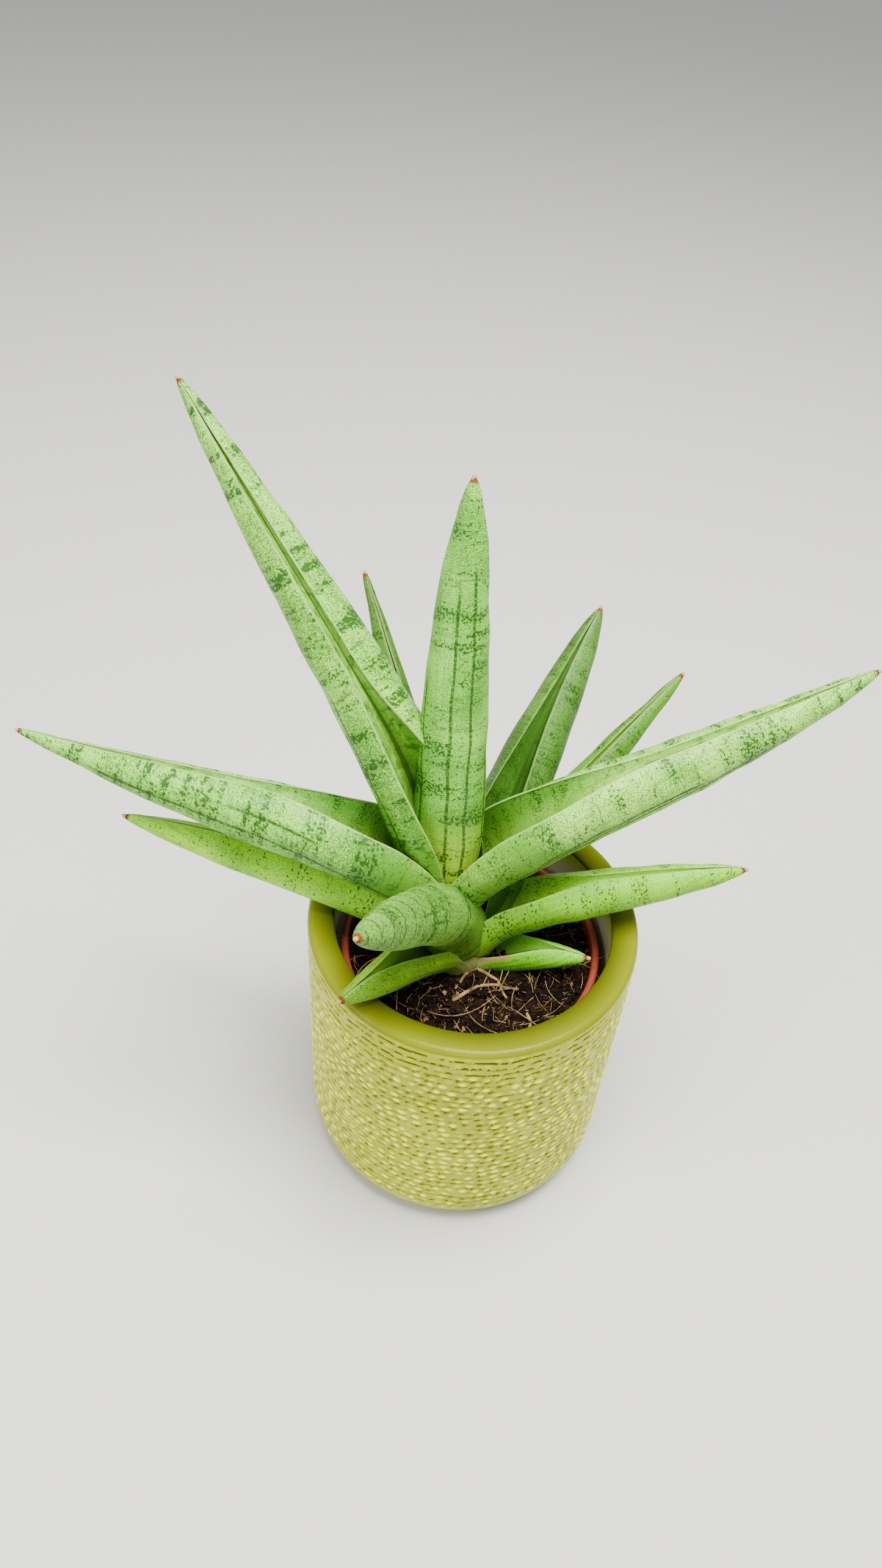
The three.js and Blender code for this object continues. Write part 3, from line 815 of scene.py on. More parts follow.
@dataclass
class Soil:
    """The peat in the grow pot: a lumpy mound with loose crumbs, chips, strands and rootlets on it."""

    edge_height: float = 99.5
    crown_height: float = 103.5
    lump: float = 0.8
    bottom: float = 9.8
    room: float = 0.35
    strewn_radius: float = 45
    rings: int = 90
    segments: int = 200
    peat: Peat = Peat()
    coir: DryFibre = DryFibre("brown_coir_and_bark", pale="#8a683c", tan="#3a2512")
    fibre: DryFibre = DryFibre()

    CRUMB_FLATNESS = (0.55, 0.75, 0.4)
    STRAND_START = (-5, 0, 0.2)
    STRAND_BENDS = (
        ((1, 4.2, 1.6), (6, -2, 0)), ((0, -3.6, 2.2), (6, 2, 0.6)), ((2, 7.5, 1.4), (-1, 4, -0.3))
    )

    def surface(self, x: Numbers, y: Numbers) -> Numbers:
        """Shapes the mound.

        Args:
            x: places from left to right.
            y: places from front to back.

        Returns:
            The height of the soil there, without its fine lumps.
        """
        out = np.minimum(1, np.hypot(x - Stem.x, y - Stem.y) / GrowPot.rim_radius)
        lumps = (
            np.sin(0.37 * x + 1.3) * np.sin(0.41 * y + 0.4)
            + 0.6 * np.sin(0.83 * x - 0.61 * y)
            + 0.4 * np.sin(0.52 * x + 1.07 * y + 2.1)
        )
        mound = mix(self.crown_height, self.edge_height, ease(0.15, 0.95, out))
        return mound + self.lump * 0.5 * lumps * (1 - out**6)

    def bed(self) -> Skin:
        """Builds the whole block.

        Returns:
            Its points and faces, with fine lumps on its top.
        """
        edge = GrowPot().inside(self.edge_height) - self.room
        profile = [(0, self.bottom), (GrowPot().inside(self.bottom) - self.room, self.bottom)]
        profile += [(edge * i / self.rings, self.edge_height) for i in range(self.rings, -1, -1)]
        points, faces = lathe(profile, self.segments)
        top = points[:, 2] > self.edge_height - 1
        x, y = points[top, 0], points[top, 1]
        rim = 1 - ease(0.9, 1, np.hypot(x, y) / edge)
        fine = 0.55 * waves(x / 9, y / 9, 3, 12) + 0.4 * waves(x / 3.4, y / 3.4, 4, 16)
        points[top, 2] = self.surface(x, y) + fine * rim
        return points, faces

    def scatter_tree(self, kind: Litter, material: Material) -> Tree:
        """Builds the tree that strews one kind of litter over the mound.

        Args:
            kind: what is strewn.
            material: its finish.

        Returns:
            The tree.
        """
        sizes = {"Count": 1000, "Spacing": 0.7 * MM, "Smallest": 0.4, "Largest": 1.0, "Seed": 5}
        tree, given = new_tree(f"strewn_{kind.value}", sizes)
        add = partial(add_node, tree)
        area = math.pi * (self.strewn_radius * MM) ** 2
        density = add(MATHS, (given["Count"], area), operation="DIVIDE")
        spots = {
            "Mesh": given["Geometry"], "Distance Min": given["Spacing"], "Density Max": density,
            "Seed": given["Seed"],
        }
        points = add("GeometryNodeDistributePointsOnFaces", spots, distribute_method="POISSON")
        shapes = self.strand_shapes(tree) if kind.is_thread else self.crumb_shapes(tree)
        turns = (0.25, 0.25, TURN) if kind.is_thread else (TURN, TURN, TURN)
        spin = add(CHANCE, {0: (0, 0, 0), 1: turns, "Seed": 11}, data_type="FLOAT_VECTOR")
        small = add(CHANCE, {2: 0.0, 3: 1.0, "Seed": 12}, 1, data_type="FLOAT")
        rare = add(MATHS, (small, 2.6), operation="POWER")
        scale = add(RANGE, {"Value": rare, "To Min": given["Smallest"], "To Max": given["Largest"]})
        pick = add(CHANCE, {4: 0, 5: 2, "Seed": 13}, 2, data_type="INT")
        placed = {"Points": points, "Instance": shapes, "Pick Instance": True, "Instance Index": pick}
        strewn = add("GeometryNodeInstanceOnPoints", {**placed, "Rotation": spin, "Scale": scale})
        end_tree(tree, strewn, material)
        return tree

    def crumb_shapes(self, tree: Tree) -> Socket:
        """Makes three dented crumbs, a millimetre in radius.

        Args:
            tree: the tree that strews them.

        Returns:
            A socket with the three as instances.
        """
        add = partial(add_node, tree)
        join = tree.nodes.new("GeometryNodeJoinGeometry")
        for seed, flat in enumerate(self.CRUMB_FLATNESS):
            ball = add("GeometryNodeMeshUVSphere", {"Segments": 6, "Rings": 4, "Radius": MM})
            lumps = {"Vector": add(PLACE), "W": 3.0 * seed, "Scale": 900.0, "Detail": 0.0}
            noise = add(NOISE, lumps, "Color", noise_dimensions="4D")
            centred = add(VECTOR, (noise, (-0.5, -0.5, -0.5)), operation="ADD")
            dent = add(VECTOR, {0: centred, "Scale": 1.9 * MM}, operation="SCALE")
            dented = add("GeometryNodeSetPosition", {"Geometry": ball, "Offset": dent})
            flattened = add("GeometryNodeTransform", {"Geometry": dented, "Scale": (1.3, 0.7, flat)})
            lone = add("GeometryNodeGeometryToInstance", {"Geometry": flattened})
            tree.links.new(lone, join.inputs[0])
        return join.outputs[0]

    def strand_shapes(self, tree: Tree) -> Socket:
        """Makes three bent strands, ten millimetres long.

        Args:
            tree: the tree that strews them.

        Returns:
            A socket with the three as instances.
        """
        add = partial(add_node, tree)
        join = tree.nodes.new("GeometryNodeJoinGeometry")
        section = add("GeometryNodeCurvePrimitiveCircle", {"Resolution": 4, "Radius": 0.1 * MM})
        for bend in self.STRAND_BENDS:
            start, middle, end = (tuple(v * MM for v in place) for place in (self.STRAND_START, *bend))
            path = {"Resolution": 8, "Start": start, "Middle": middle, "End": end}
            curve = add("GeometryNodeCurveQuadraticBezier", path)
            skin = {"Curve": curve, "Profile Curve": section, "Fill Caps": True}
            lone = add("GeometryNodeGeometryToInstance", {"Geometry": add("GeometryNodeCurveToMesh", skin)})
            tree.links.new(lone, join.inputs[0])
        return join.outputs[0]

    def make(self) -> list[Piece]:
        """Builds and dresses the bed and all that lies on it.

        Returns:
            The bed, and one piece for each kind of litter.
        """
        points, faces = self.bed()
        finishes = {finish: finish.material() for finish in (self.peat, self.fibre, self.coir)}
        bed = new_object("peat_bed", points, faces)
        bed.data.materials.append(finishes[self.peat])
        pieces = [wear_slot(bed, "soil_plug")]
        top = [face for face in faces if min(points[list(face), 2]) > self.edge_height - 3]
        for litter in (
            Strewing(Litter.CRUMBS, 5200, 0.8, 0.5, 2.6, self.peat),
            Strewing(Litter.CHIPS, 620, 1.2, 0.4, 1.6, self.coir),
            Strewing(Litter.STRANDS, 620, 0.9, 0.3, 1.7, self.fibre),
            Strewing(Litter.ROOTLETS, 60, 3.0, 1.4, 2.7, self.fibre),
        ):
            strewn = new_object(f"peat_{litter.kind.value}", points, top)
            values = {
                "Count": litter.count,
                "Spacing": litter.spacing * MM,
                "Smallest": litter.smallest,
                "Largest": litter.largest,
                "Seed": 5 + litter.count,
            }
            run_nodes(strewn, self.scatter_tree(litter.kind, finishes[litter.finish]), values)
            pieces.append(wear_slot(strewn, "soil_plug"))
        return pieces


@dataclass(frozen=True)
class LeafSkin:
    """The waxy living skin of a leaf: satin, silver-green and netted with darker green in cross bands."""

    name: str = "waxy_leaf_skin"
    length: float = 150
    silver: str = "#a7e653"
    green: str = "#569616"
    band: str = "#1f480e"
    base: str = "#a9c62c"
    groove: str = "#24480a"
    edge: str = "#b4c47a"
    dry: str = "#6a3a0c"
    cap: str = "#b49c62"
    frosting: float = 3.6
    greening: float = 0.25
    yellowing: float = 0.15
    horny: float = 0.3
    banding: float = 1.0
    band_spacing: float = 9.0
    ring_strength: float = 0.0
    ring_spacing: float = 2.9
    scar: tuple[float, float] = (0.0, 0.0)
    scar_colour: str = "#8f7240"
    seed: float = 0.0
    lines: Marks = ()

    # Sizes of the patches of noise in millimetres, across and along, and how ragged they are.
    STREAK = (1.3, 40.0, 1.0)
    CLOUD = (13.0, 20.0, 2.0)
    NET = (0.95, 0.9, 3.0)
    GRAIN = (0.34, 0.4, 2.0)
    CONTOUR = (24.0, 5.0, 1.0)
    BAND_WIDTH = 26.0

    def material(self) -> Material:
        """Makes the skin, which reads the leaf's own attributes.

        Returns:
            The material, whose pattern follows the blade.
        """
        material, tree, shader = new_material(self.name, IOR=1.42, Specular_IOR_Level=0.22)
        add, cover = partial(add_node, tree), partial(overlap, tree)
        blade, surface = (add(OWN, output="Vector", attribute_name=name) for name in ("blade", "leaf_mm"))
        across, along, channel = add(SPLIT, (blade,)).node.outputs
        across_mm, along_mm, half = add(SPLIT, (surface,)).node.outputs
        face = add(MATHS, (channel, 40.0, self.seed * 17.0), operation="MULTIPLY_ADD")
        place = add(JOIN, (across_mm, along_mm, face))

        def noise(wide: float, long: float, detail: float) -> Socket:
            """Returns noise whose patches are this wide and long in millimetres."""
            scaled = add(VECTOR, (place, (1 / wide, 1 / long, 0.11)), operation="MULTIPLY")
            return add(NOISE, {"Vector": scaled, "Scale": 1.0, "Detail": detail})

        sizes = (self.STREAK, self.CLOUD, self.NET, self.GRAIN, self.CONTOUR)
        streak, cloud, net, grain, contour = (noise(*size) for size in sizes)
        band_noise = noise(self.BAND_WIDTH, self.band_spacing * 0.55, 3.0)
        # Silver wax over green skin; the channel's inner face gets less silver as painted shade, and the
        # sheath less silver as painted shade deep in the crown.
        bias = 0.05 - self.greening - 0.5 * self.frosting
        wide = add(MATHS, (cloud, 1.6, bias), operation="MULTIPLY_ADD")
        frosted = add(MATHS, (grain, self.frosting, wide), operation="MULTIPLY_ADD")
        # Painted shade: the channel's inner face is made greener.
        shaded = add(MATHS, (channel, -0.25, frosted), operation="MULTIPLY_ADD")
        # Painted shade: the lower part of the leaf, deep in the crown, is made greener.
        sheath = add(RANGE, (along, 0.4, 0.12, 0.0, -0.75), **SMOOTH)
        silvering = add(RANGE, (add(MATHS, (sheath, shaded), operation="ADD"),), **SMOOTH)
        root = add(RANGE, (along, 0.3, 0.06, 0.0, self.yellowing), **SMOOTH)
        streaked = add(RANGE, (streak, 0.4, 0.7, 0.0, 0.3))
        # Dark specks that gather in cross bands, and thin broken rungs.
        band = add(RANGE, (band_noise, 0.47, 0.66, 0.0, self.banding), **SMOOTH)
        limit = add(MATHS, (band, -0.15, 0.625), operation="MULTIPLY_ADD")
        over = add(MATHS, (net, limit), operation="SUBTRACT")
        speck = add(RANGE, (over, 0.0, 0.06, 0.0, 0.9), **SMOOTH)
        rung = add(RANGE, (off_centre(tree, contour, 0.5), 0.022, 0.006), **SMOOTH)
        broken = add(RANGE, (net, 0.4, 0.5), **SMOOTH)
        layers = [
            (silvering, self.silver),
            (root, self.base),
            (streaked, self.green),
            (cover(band, 0.35), self.green),
            (speck, self.band),
            (cover(rung, broken, 0.4 * self.banding), self.band),
        ]
        # Dark lines along the outer face.
        middle = off_centre(tree, across, 0.0)
        outer_face = add(MATHS, (1.0, channel), operation="SUBTRACT", use_clamp=True)
        dash = add(RANGE, (net, 0.36, 0.5, 0.55))
        for line_place, start, end in self.lines:
            off = add(MATHS, (across, line_place), operation="SUBTRACT")
            wobble = add(MATHS, (cloud, 0.06, off), operation="MULTIPLY_ADD")
            gap = cover(off_centre(tree, wobble, 0.03), half)
            line = add(RANGE, (gap, 0.75, 0.3, 0.0, 0.9), **SMOOTH)
            layers.append((cover(line, window(tree, along, start, end, 0.06), outer_face, dash), self.band))
        # Inside the channel the skin is yellower beside the groove and dark along its bottom, partly a dark
        # midline and partly painted shade in the crease.
        beside = add(RANGE, (middle, 0.85, 0.35), **SMOOTH)
        ragged_middle = add(MATHS, (net, 0.24, middle), operation="MULTIPLY_ADD")
        bottom = add(RANGE, (ragged_middle, 0.32, 0.2), **SMOOTH)
        rim = cover(add(MATHS, (1.0, middle), operation="SUBTRACT"), half)
        margin = add(RANGE, (rim, 0.35, 0.05, 0.0, self.horny), **SMOOTH)
        layers += [
            (cover(beside, channel, 0.15), self.base),
            # Dark channel bottom: partly a real midline, partly painted shade.
            (cover(bottom, channel, 0.85), self.groove),
            (margin, self.edge),
        ]
        if self.scar[1]:
            right_side = add(MATHS, (across, 0.5), operation="GREATER_THAN")
            torn = add(MATHS, (net, -1.6, rim), operation="MULTIPLY_ADD")
            dead = add(RANGE, (torn, 0.35, 0.05), **SMOOTH)
            layers.append((cover(dead, right_side, window(tree, along, *self.scar, 0.04)), self.scar_colour))
        to_tip = add(MATHS, (1.0, along), operation="SUBTRACT")
        ragged = add(MATHS, (net, 1.6, -0.8), operation="MULTIPLY_ADD")
        tip_mm = add(MATHS, (to_tip, self.length, ragged), operation="MULTIPLY_ADD")
        if self.ring_strength:
            turn = add(MATHS, (cloud, 4.0, cover(to_tip, self.length)), operation="MULTIPLY_ADD")
            phase = add(MATHS, (turn, self.ring_spacing), operation="PINGPONG")
            thin = add(RANGE, (phase, 0.5, 0.15), **SMOOTH)
            near = add(RANGE, (tip_mm, 46.0, 26.0, 0.0, self.ring_strength), **SMOOTH)
            worn = add(RANGE, (net, 0.34, 0.5, 0.15), **SMOOTH)
            layers.append((cover(thin, near, worn), self.band))
        dried = add(RANGE, (tip_mm, 3.2, 1.9), **SMOOTH)
        capped = add(RANGE, (tip_mm, 1.5, 1.0), **SMOOTH)
        colour = paint(tree, self.green, *layers, (dried, self.dry), (capped, self.cap))
        waxy = add(RANGE, (cloud, 0.0, 1.0, 0.38, 0.54))
        dull = add(MIX, {0: dried, 2: waxy, 3: 0.8}, data_type="FLOAT")
        tree.links.new(dull, shader.inputs["Roughness"])
        ridged = add(MATHS, (streak, 1.6, grain), operation="MULTIPLY_ADD")
        feed_shader(shader, colour, ridged, 0.35, 0.12)
        return material


@dataclass(frozen=True)
class Leaf:
    """One leaf: a channelled rod that clasps the stem at its base and closes towards a dry tip."""

    name: str
    azimuth: float = 0
    swing: float = 0
    length: float = 150
    lift: float = 30
    base_lift: float = 86
    bend: float = 5
    height: float = 112
    offset: float = 3
    shift: float = 0
    radius: float = 10
    base_scale: float = 1
    taper: float = 0.6
    blunt: float = 4
    twist: float = 0
    sheath_mouth: float = 62
    mouth: float = 42
    shut: float = 0.52
    lines: Marks = ()
    skin: LeafSkin = LeafSkin()

    # How many points the faces, a margin, the length and the spine have.
    OUTER, INNER, EDGE, STATIONS, SPINE_STEPS = 60, 34, 3, 130, 240
    TIP_STATIONS = (2.4, 1.8, 1.4, 1.0, 0.7, 0.4, 0.15)
    TIP_RADIUS = 0.8
    NUB = 1.6
    MARGIN = 0.55
    SLIT = 12

    def blade_radius(self, s: np.ndarray) -> np.ndarray:
        """Shapes the rounded back.

        Args:
            s: shares of the length.

        Returns:
            The radius of the section at each of them.
        """
        outer = np.clip((s - 0.18) / 0.82, 0, 1)
        sheath = mix(self.base_scale, 1, ease(0, 0.2, s))
        living = np.clip(outer / (1 - self.NUB / (0.82 * self.length)), 0, 1)
        blade = self.radius * sheath * (1 - self.taper * outer) * (1 - living**self.blunt) ** 0.7
        round_from = 1 - 1.2 / self.length
        rounding = np.sqrt(1 - 0.93 * np.clip((s - round_from) / (1 - round_from), 0, 1) ** 2)
        return (blade + self.TIP_RADIUS) * rounding

    def channel_mouth(self, s: np.ndarray) -> np.ndarray:
        """Returns half the angle of the channel's mouth in degrees, which narrows to a slit."""
        base = mix(self.sheath_mouth, self.mouth, ease(0, 0.2, s))
        return mix(base, self.SLIT, ease(0.2, self.shut, s))

    def pointing(self, s: np.ndarray) -> tuple[np.ndarray, np.ndarray]:
        """Aims the blade.

        Args:
            s: shares of the length.

        Returns:
            The direction of growth and the sideways direction at each of them.
        """
        heading = np.radians(self.azimuth + self.swing * s)
        lift = np.radians(self.lift + (self.base_lift - self.lift) * (1 - s) ** self.bend)
        level = np.zeros_like(s)
        along = np.stack([np.cos(heading) * np.cos(lift), np.sin(heading) * np.cos(lift), np.sin(lift)], -1)
        return along, np.stack([np.sin(heading), -np.cos(heading), level], -1)

    def spine(self, s: np.ndarray) -> np.ndarray:
        """Lays out the spine.

        Args:
            s: shares of the length.

        Returns:
            Its point at each of them.
        """
        steps = self.SPINE_STEPS
        along, _ = self.pointing((np.arange(steps) + 0.5) / steps)
        heading = math.radians(self.azimuth)
        start = Stem.axis(self.height) + self.offset * np.array([math.cos(heading), math.sin(heading), 0])
        start[0] += self.shift
        path = np.concatenate([[start], start + np.cumsum(along * self.length / steps, 0)])
        marks = np.linspace(0, 1, steps + 1)
        return np.stack([np.interp(s, marks, path[:, i]) for i in range(3)], -1)

    def unevenness(self, across: np.ndarray, s: np.ndarray, half: np.ndarray, seed: int) -> np.ndarray:
        """Roughens the back with soft waves, fine ridges and a groove at each line.

        Args:
            across: places across the back, from -1 to 1.
            s: shares of the length.
            half: half the width of the back there.
            seed: chooses the waves.

        Returns:
            How far the back stands proud.
        """
        across_mm = across * half
        along_mm = s * self.length
        swell = 0.2 * waves(across_mm / 30, along_mm / 34, seed) * ease(0.08, 0.3, s)
        ridges = 0.05 * np.sin(TURN * across_mm / 2.6 + 2 * np.sin(along_mm / 23 + seed))
        grooves = 0
        for place, start, end in self.lines:
            gap = (across - place) * half
            shown = ease(start, start + 0.08, s) * (1 - ease(end - 0.08, end, s))
            grooves = grooves - 0.28 * np.exp(-((gap / 0.7) ** 2)) * shown
        return (swell + ridges + grooves) * ease(1.0, 0.9, s)

    def rings(self, seed: int) -> tuple[np.ndarray, np.ndarray, np.ndarray]:
        """Lays out every section of the leaf.

        Args:
            seed: chooses the leaf's unevenness.

        Returns:
            Points, and the two vectors for each point that the skin reads: share across, share along and
            channel, and millimetres across, along and of half the width.
        """
        stations = (np.arange(self.STATIONS + 1) / self.STATIONS) ** 0.92
        stations = np.unique(np.concatenate([stations, 1 - np.array(self.TIP_STATIONS) / self.length]))
        s = stations[:, None]
        r = self.blade_radius(s)
        reach = np.minimum(math.pi - np.radians(self.channel_mouth(s)), math.pi - 0.03)
        edge = np.minimum(self.MARGIN, 0.35 * r)
        wall = np.minimum(2 + 0.35 * self.radius * ease(0.05, 0.3, s), 0.6 * r)
        depth = mix(r, 0.12 * r + 0.5, ease(0.2, self.shut, s))
        half = r * reach
        # The inner face is a sheath round the stem at the base, and a channel further out.
        u = np.linspace(-1, 1, self.INNER)[None, :]
        thick = r - edge - (wall - edge) * (1 - np.abs(u) ** 3)
        sheath_x, sheath_y = thick * np.sin(0.985 * u * reach), -thick * np.cos(0.985 * u * reach)
        lip_x, lip_y = r * np.sin(reach), -r * np.cos(reach)
        channel_x = np.maximum(lip_x - edge, 0.25 * lip_x) * u
        channel_y = lip_y - 0.15 * edge - depth * (1 - np.abs(u) ** 1.6)
        cut = ease(0.05, 0.26, s)
        inner = np.stack([mix(sheath_x, channel_x, cut), mix(sheath_y, channel_y, cut)], -1)
        v = np.linspace(1, -1, self.OUTER)[None, :]
        proud = r + self.unevenness(v, s, half, seed)
        outer = np.stack([proud * np.sin(v * reach), -proud * np.cos(v * reach)], -1)
        # Each margin is a small rounded rim with slight knobs, between the two faces.
        margins = []
        for side, first, last in ((1, inner[:, -1], outer[:, 0]), (-1, outer[:, -1], inner[:, 0])):
            centre, arm = (first + last) / 2, (last - first) / 2
            out = np.stack([side * np.cos(reach[:, 0]), np.sin(reach[:, 0])], -1)
            size = np.linalg.norm(arm, axis=-1, keepdims=True)
            knobs = 0.75 + 0.22 * waves(s * self.length / 7 + side, s * 0, seed + side, 5)
            turns = math.pi * (np.arange(1, self.EDGE + 1) / (self.EDGE + 1) - 0.5)
            rim = [centre + arm * math.sin(turn) + out * size * math.cos(turn) * knobs for turn in turns]
            margins.append(np.stack(rim, 1))
        section = np.concatenate([inner, margins[0], outer, margins[1]], 1)
        along, across = self.pointing(stations)
        inward = np.cross(across, along)
        turn = np.radians(self.twist) * ease(0, 0.5, stations)[:, None]
        rightward = across * np.cos(turn) - inward * np.sin(turn)
        upward = inward * np.cos(turn) + across * np.sin(turn)
        points = self.spine(stations)[:, None, :] + section[:, :, :1] * rightward[:, None, :]
        points = points + section[:, :, 1:] * upward[:, None, :]
        whole = np.ones_like(s)
        rim_u = np.ones((1, self.EDGE))
        ramp = (np.arange(1, self.EDGE + 1) / (self.EDGE + 1))[None, :]
        share = np.concatenate([u, rim_u, v, -rim_u], 1) * whole
        hollow = np.concatenate([np.ones_like(u), 1 - ramp, np.zeros_like(v), ramp], 1) * whole
        flat = np.ones_like(share)
        blade = np.stack([share, s * flat, hollow], -1)
        return points, blade, np.stack([share * half, s * self.length * flat, half * flat], -1)

    def make(self, number: int) -> Piece:
        """Builds and dresses the leaf.

        Args:
            number: the leaf's place in the crown, youngest first.

        Returns:
            The leaf.
        """
        points, blade, leaf_mm = self.rings(100 + number)
        ends = [points[0].mean(0), points[-1].mean(0)]
        leaf_points = np.concatenate([points.reshape(-1, 3), ends])
        leaf = new_object(f"living_{self.name}", leaf_points, capped_faces(*points.shape[:2]))
        for name, values, ends in (
            ("blade", blade, [[0, 0, 0], [0, 1, 0]]),
            ("leaf_mm", leaf_mm, [[0, 0, leaf_mm[0, 0, 2]], [0, self.length, 1]]),
        ):
            set_attribute(leaf, name, np.concatenate([values.reshape(-1, 3), ends]))
        name = f"{self.skin.name}_{number:02d}"
        skin = replace(self.skin, name=name, length=self.length, seed=float(number), lines=self.lines)
        leaf.data.materials.append(skin.material())
        return wear_slot(leaf, self.name)


@dataclass
class Crown:
    """The rosette: the stem with its roots, and twelve leaves, each inside the next older one."""

    fibre: DryFibre = DryFibre()
    root_radius: float = 0.75
    stem_rows: int = 60
    stem_sides: int = 48
    girths: tuple[tuple[float, float], ...] = ((0, 7.5), (0.3, 9), (0.6, 9), (0.93, 8.4), (1, 5.4))
    scar_spacing: float = 5.2
    grown_roots: tuple[tuple[float, float, float, float], ...] = (
        (-118, 19, -18, 0.9), (-84, 27, 26, 0.8), (-56, 31, -22, 0.7), (-35, 26, 30, 0.7),
        (20, 24, -20, 0.8), (78, 27, 24, 0.7), (140, 25, -26, 0.8), (-160, 24, 22, 0.7),
    )
    laid_roots: tuple[tuple[tuple[float, float], ...], ...] = (
        ((4.0, -12.3), (-1.0, -16.5), (-4.9, -22.2)),
        ((-5.7, -27.1), (2.9, -20.9), (10.5, -20.0), (18.1, -19.6)),
        ((20.9, -27.9), (22.3, -32.0), (22.1, -35.4)),
        ((1.0, -13.0), (9.0, -17.0), (14.0, -24.0)),
    )

    YOUNG = 6  # how many of the leaves have the young skin

    @staticmethod
    def leaves() -> list[Leaf]:
        """Lists the leaves as they grow on this plant.

        Returns:
            The twelve leaves, youngest first.
        """
        young = LeafSkin(banding=1.1)
        old = LeafSkin(
            silver="#578624", green="#396414", band="#1e4206", greening=0.4, frosting=3.0, horny=0.2
        )
        papery = replace(old, base="#94875a", yellowing=0.7)
        return [
            Leaf(
                "leaf_01_centre", azimuth=-84, swing=-9, length=146, lift=107, base_lift=103, height=132,
                offset=1, shift=-3, radius=11.4, base_scale=0.75, taper=0.33,
                lines=((-0.5, 0.02, 0.5), (-0.17, 0.02, 0.85), (0.05, 0.02, 0.8), (0.42, 0.05, 0.6)),
                skin=replace(
                    young, silver="#8cd847", green="#488420", base="#b4d818", yellowing=0.85, greening=0.35
                ),
            ),
            Leaf(
                "leaf_02_right", azimuth=12, swing=14, length=168, lift=20, base_lift=70, bend=8, height=135,
                offset=1, shift=-1, radius=12.8, base_scale=0.95, taper=0.58, sheath_mouth=54, mouth=38,
                lines=((0.46, 0.1, 0.75), (0.52, 0.18, 0.6)),
                skin=replace(young, silver="#aeea5c", green="#4e8c20"),
            ),
            Leaf(
                "leaf_03_tall_left", azimuth=147, length=200, lift=49, base_lift=92, bend=6, height=124,
                offset=2, radius=14.3, base_scale=0.75, taper=0.62, twist=-35,
                lines=((-0.3, 0.06, 0.75), (-0.52, 0.06, 0.7), (-0.68, 0.1, 0.5)),
                skin=LeafSkin(silver="#a4e656", green="#468618", banding=1.4, greening=0.35),
            ),
            Leaf(
                "leaf_04_left", azimuth=180, swing=-13, length=162, lift=11, base_lift=70, bend=8, height=131,
                offset=2, radius=14.3, base_scale=0.95, taper=0.78, twist=14,
                lines=((-0.48, 0.12, 0.85), (-0.7, 0.3, 0.55)),
                skin=replace(young, silver="#98dc50", green="#44821c"),
            ),
            Leaf(
                "leaf_05_front", azimuth=-117, length=94, lift=37, base_lift=77, bend=4, height=116,
                radius=10.5, base_scale=1.15, taper=0.4, blunt=4.5, twist=45,
                lines=((-0.5, 0.5, 0.7), (-0.36, 0.42, 0.62), (0.42, 0.45, 0.7), (0.56, 0.4, 0.6)),
                skin=LeafSkin(
                    silver="#78aa3c", green="#3e6c1e", banding=1.3, band_spacing=7.0, ring_strength=0.9
                ),
            ),
            Leaf(
                "leaf_06_back_right", azimuth=62, length=134, lift=40, base_lift=80, bend=4, height=106,
                offset=4, shift=-2, radius=12.8, base_scale=0.7, taper=0.5, shut=0.85,
                skin=LeafSkin(silver="#5e8b32", green="#305a10", base="#3c6414", greening=0.35, horny=0.15),
            ),
            Leaf(
                "leaf_07_lower_right", azimuth=6, length=104, lift=13, base_lift=60, bend=8, height=114,
                radius=9, base_scale=1.25, taper=0.45,
                skin=replace(old, silver="#8dd411", green="#61a00c", banding=0.8, frosting=3.4),
            ),
            Leaf(
                "leaf_08_back_left", azimuth=120, length=133, lift=48, base_lift=66, radius=6.3,
                base_scale=1.5, skin=old,
            ),
            Leaf(
                "leaf_09_lower_left", azimuth=175, length=128, lift=14, base_lift=58, bend=7, height=108,
                radius=9.4, base_scale=1.2, taper=0.5, twist=10,
                skin=replace(old, silver="#aef01e", green="#6cb014", horny=0.5, banding=0.55),
            ),
            Leaf(
                "leaf_10_far_right", azimuth=43, length=128, lift=32, base_lift=75, height=107, radius=7.8,
                base_scale=1.3, skin=replace(old, silver="#61971f", green="#407112"),
            ),
            Leaf(
                "leaf_11_lowest_left", azimuth=-130, length=65, lift=15, base_lift=60, height=107, radius=8.4,
                base_scale=1.25, taper=0.52, mouth=62, shut=0.85,
                skin=replace(papery, silver="#80b61a", green="#56840a", banding=0.35, band="#3a680c"),
            ),
            Leaf(
                "leaf_12_lowest_right", azimuth=-10, length=45, lift=11, base_lift=20, bend=4, height=104,
                radius=7.2, base_scale=1.25, taper=0.62, mouth=62, shut=0.85,
                skin=replace(
                    papery, silver="#75c804", green="#529602", banding=0.3, band="#3a720a", scar=(0.1, 0.4)
                ),
            ),
        ]

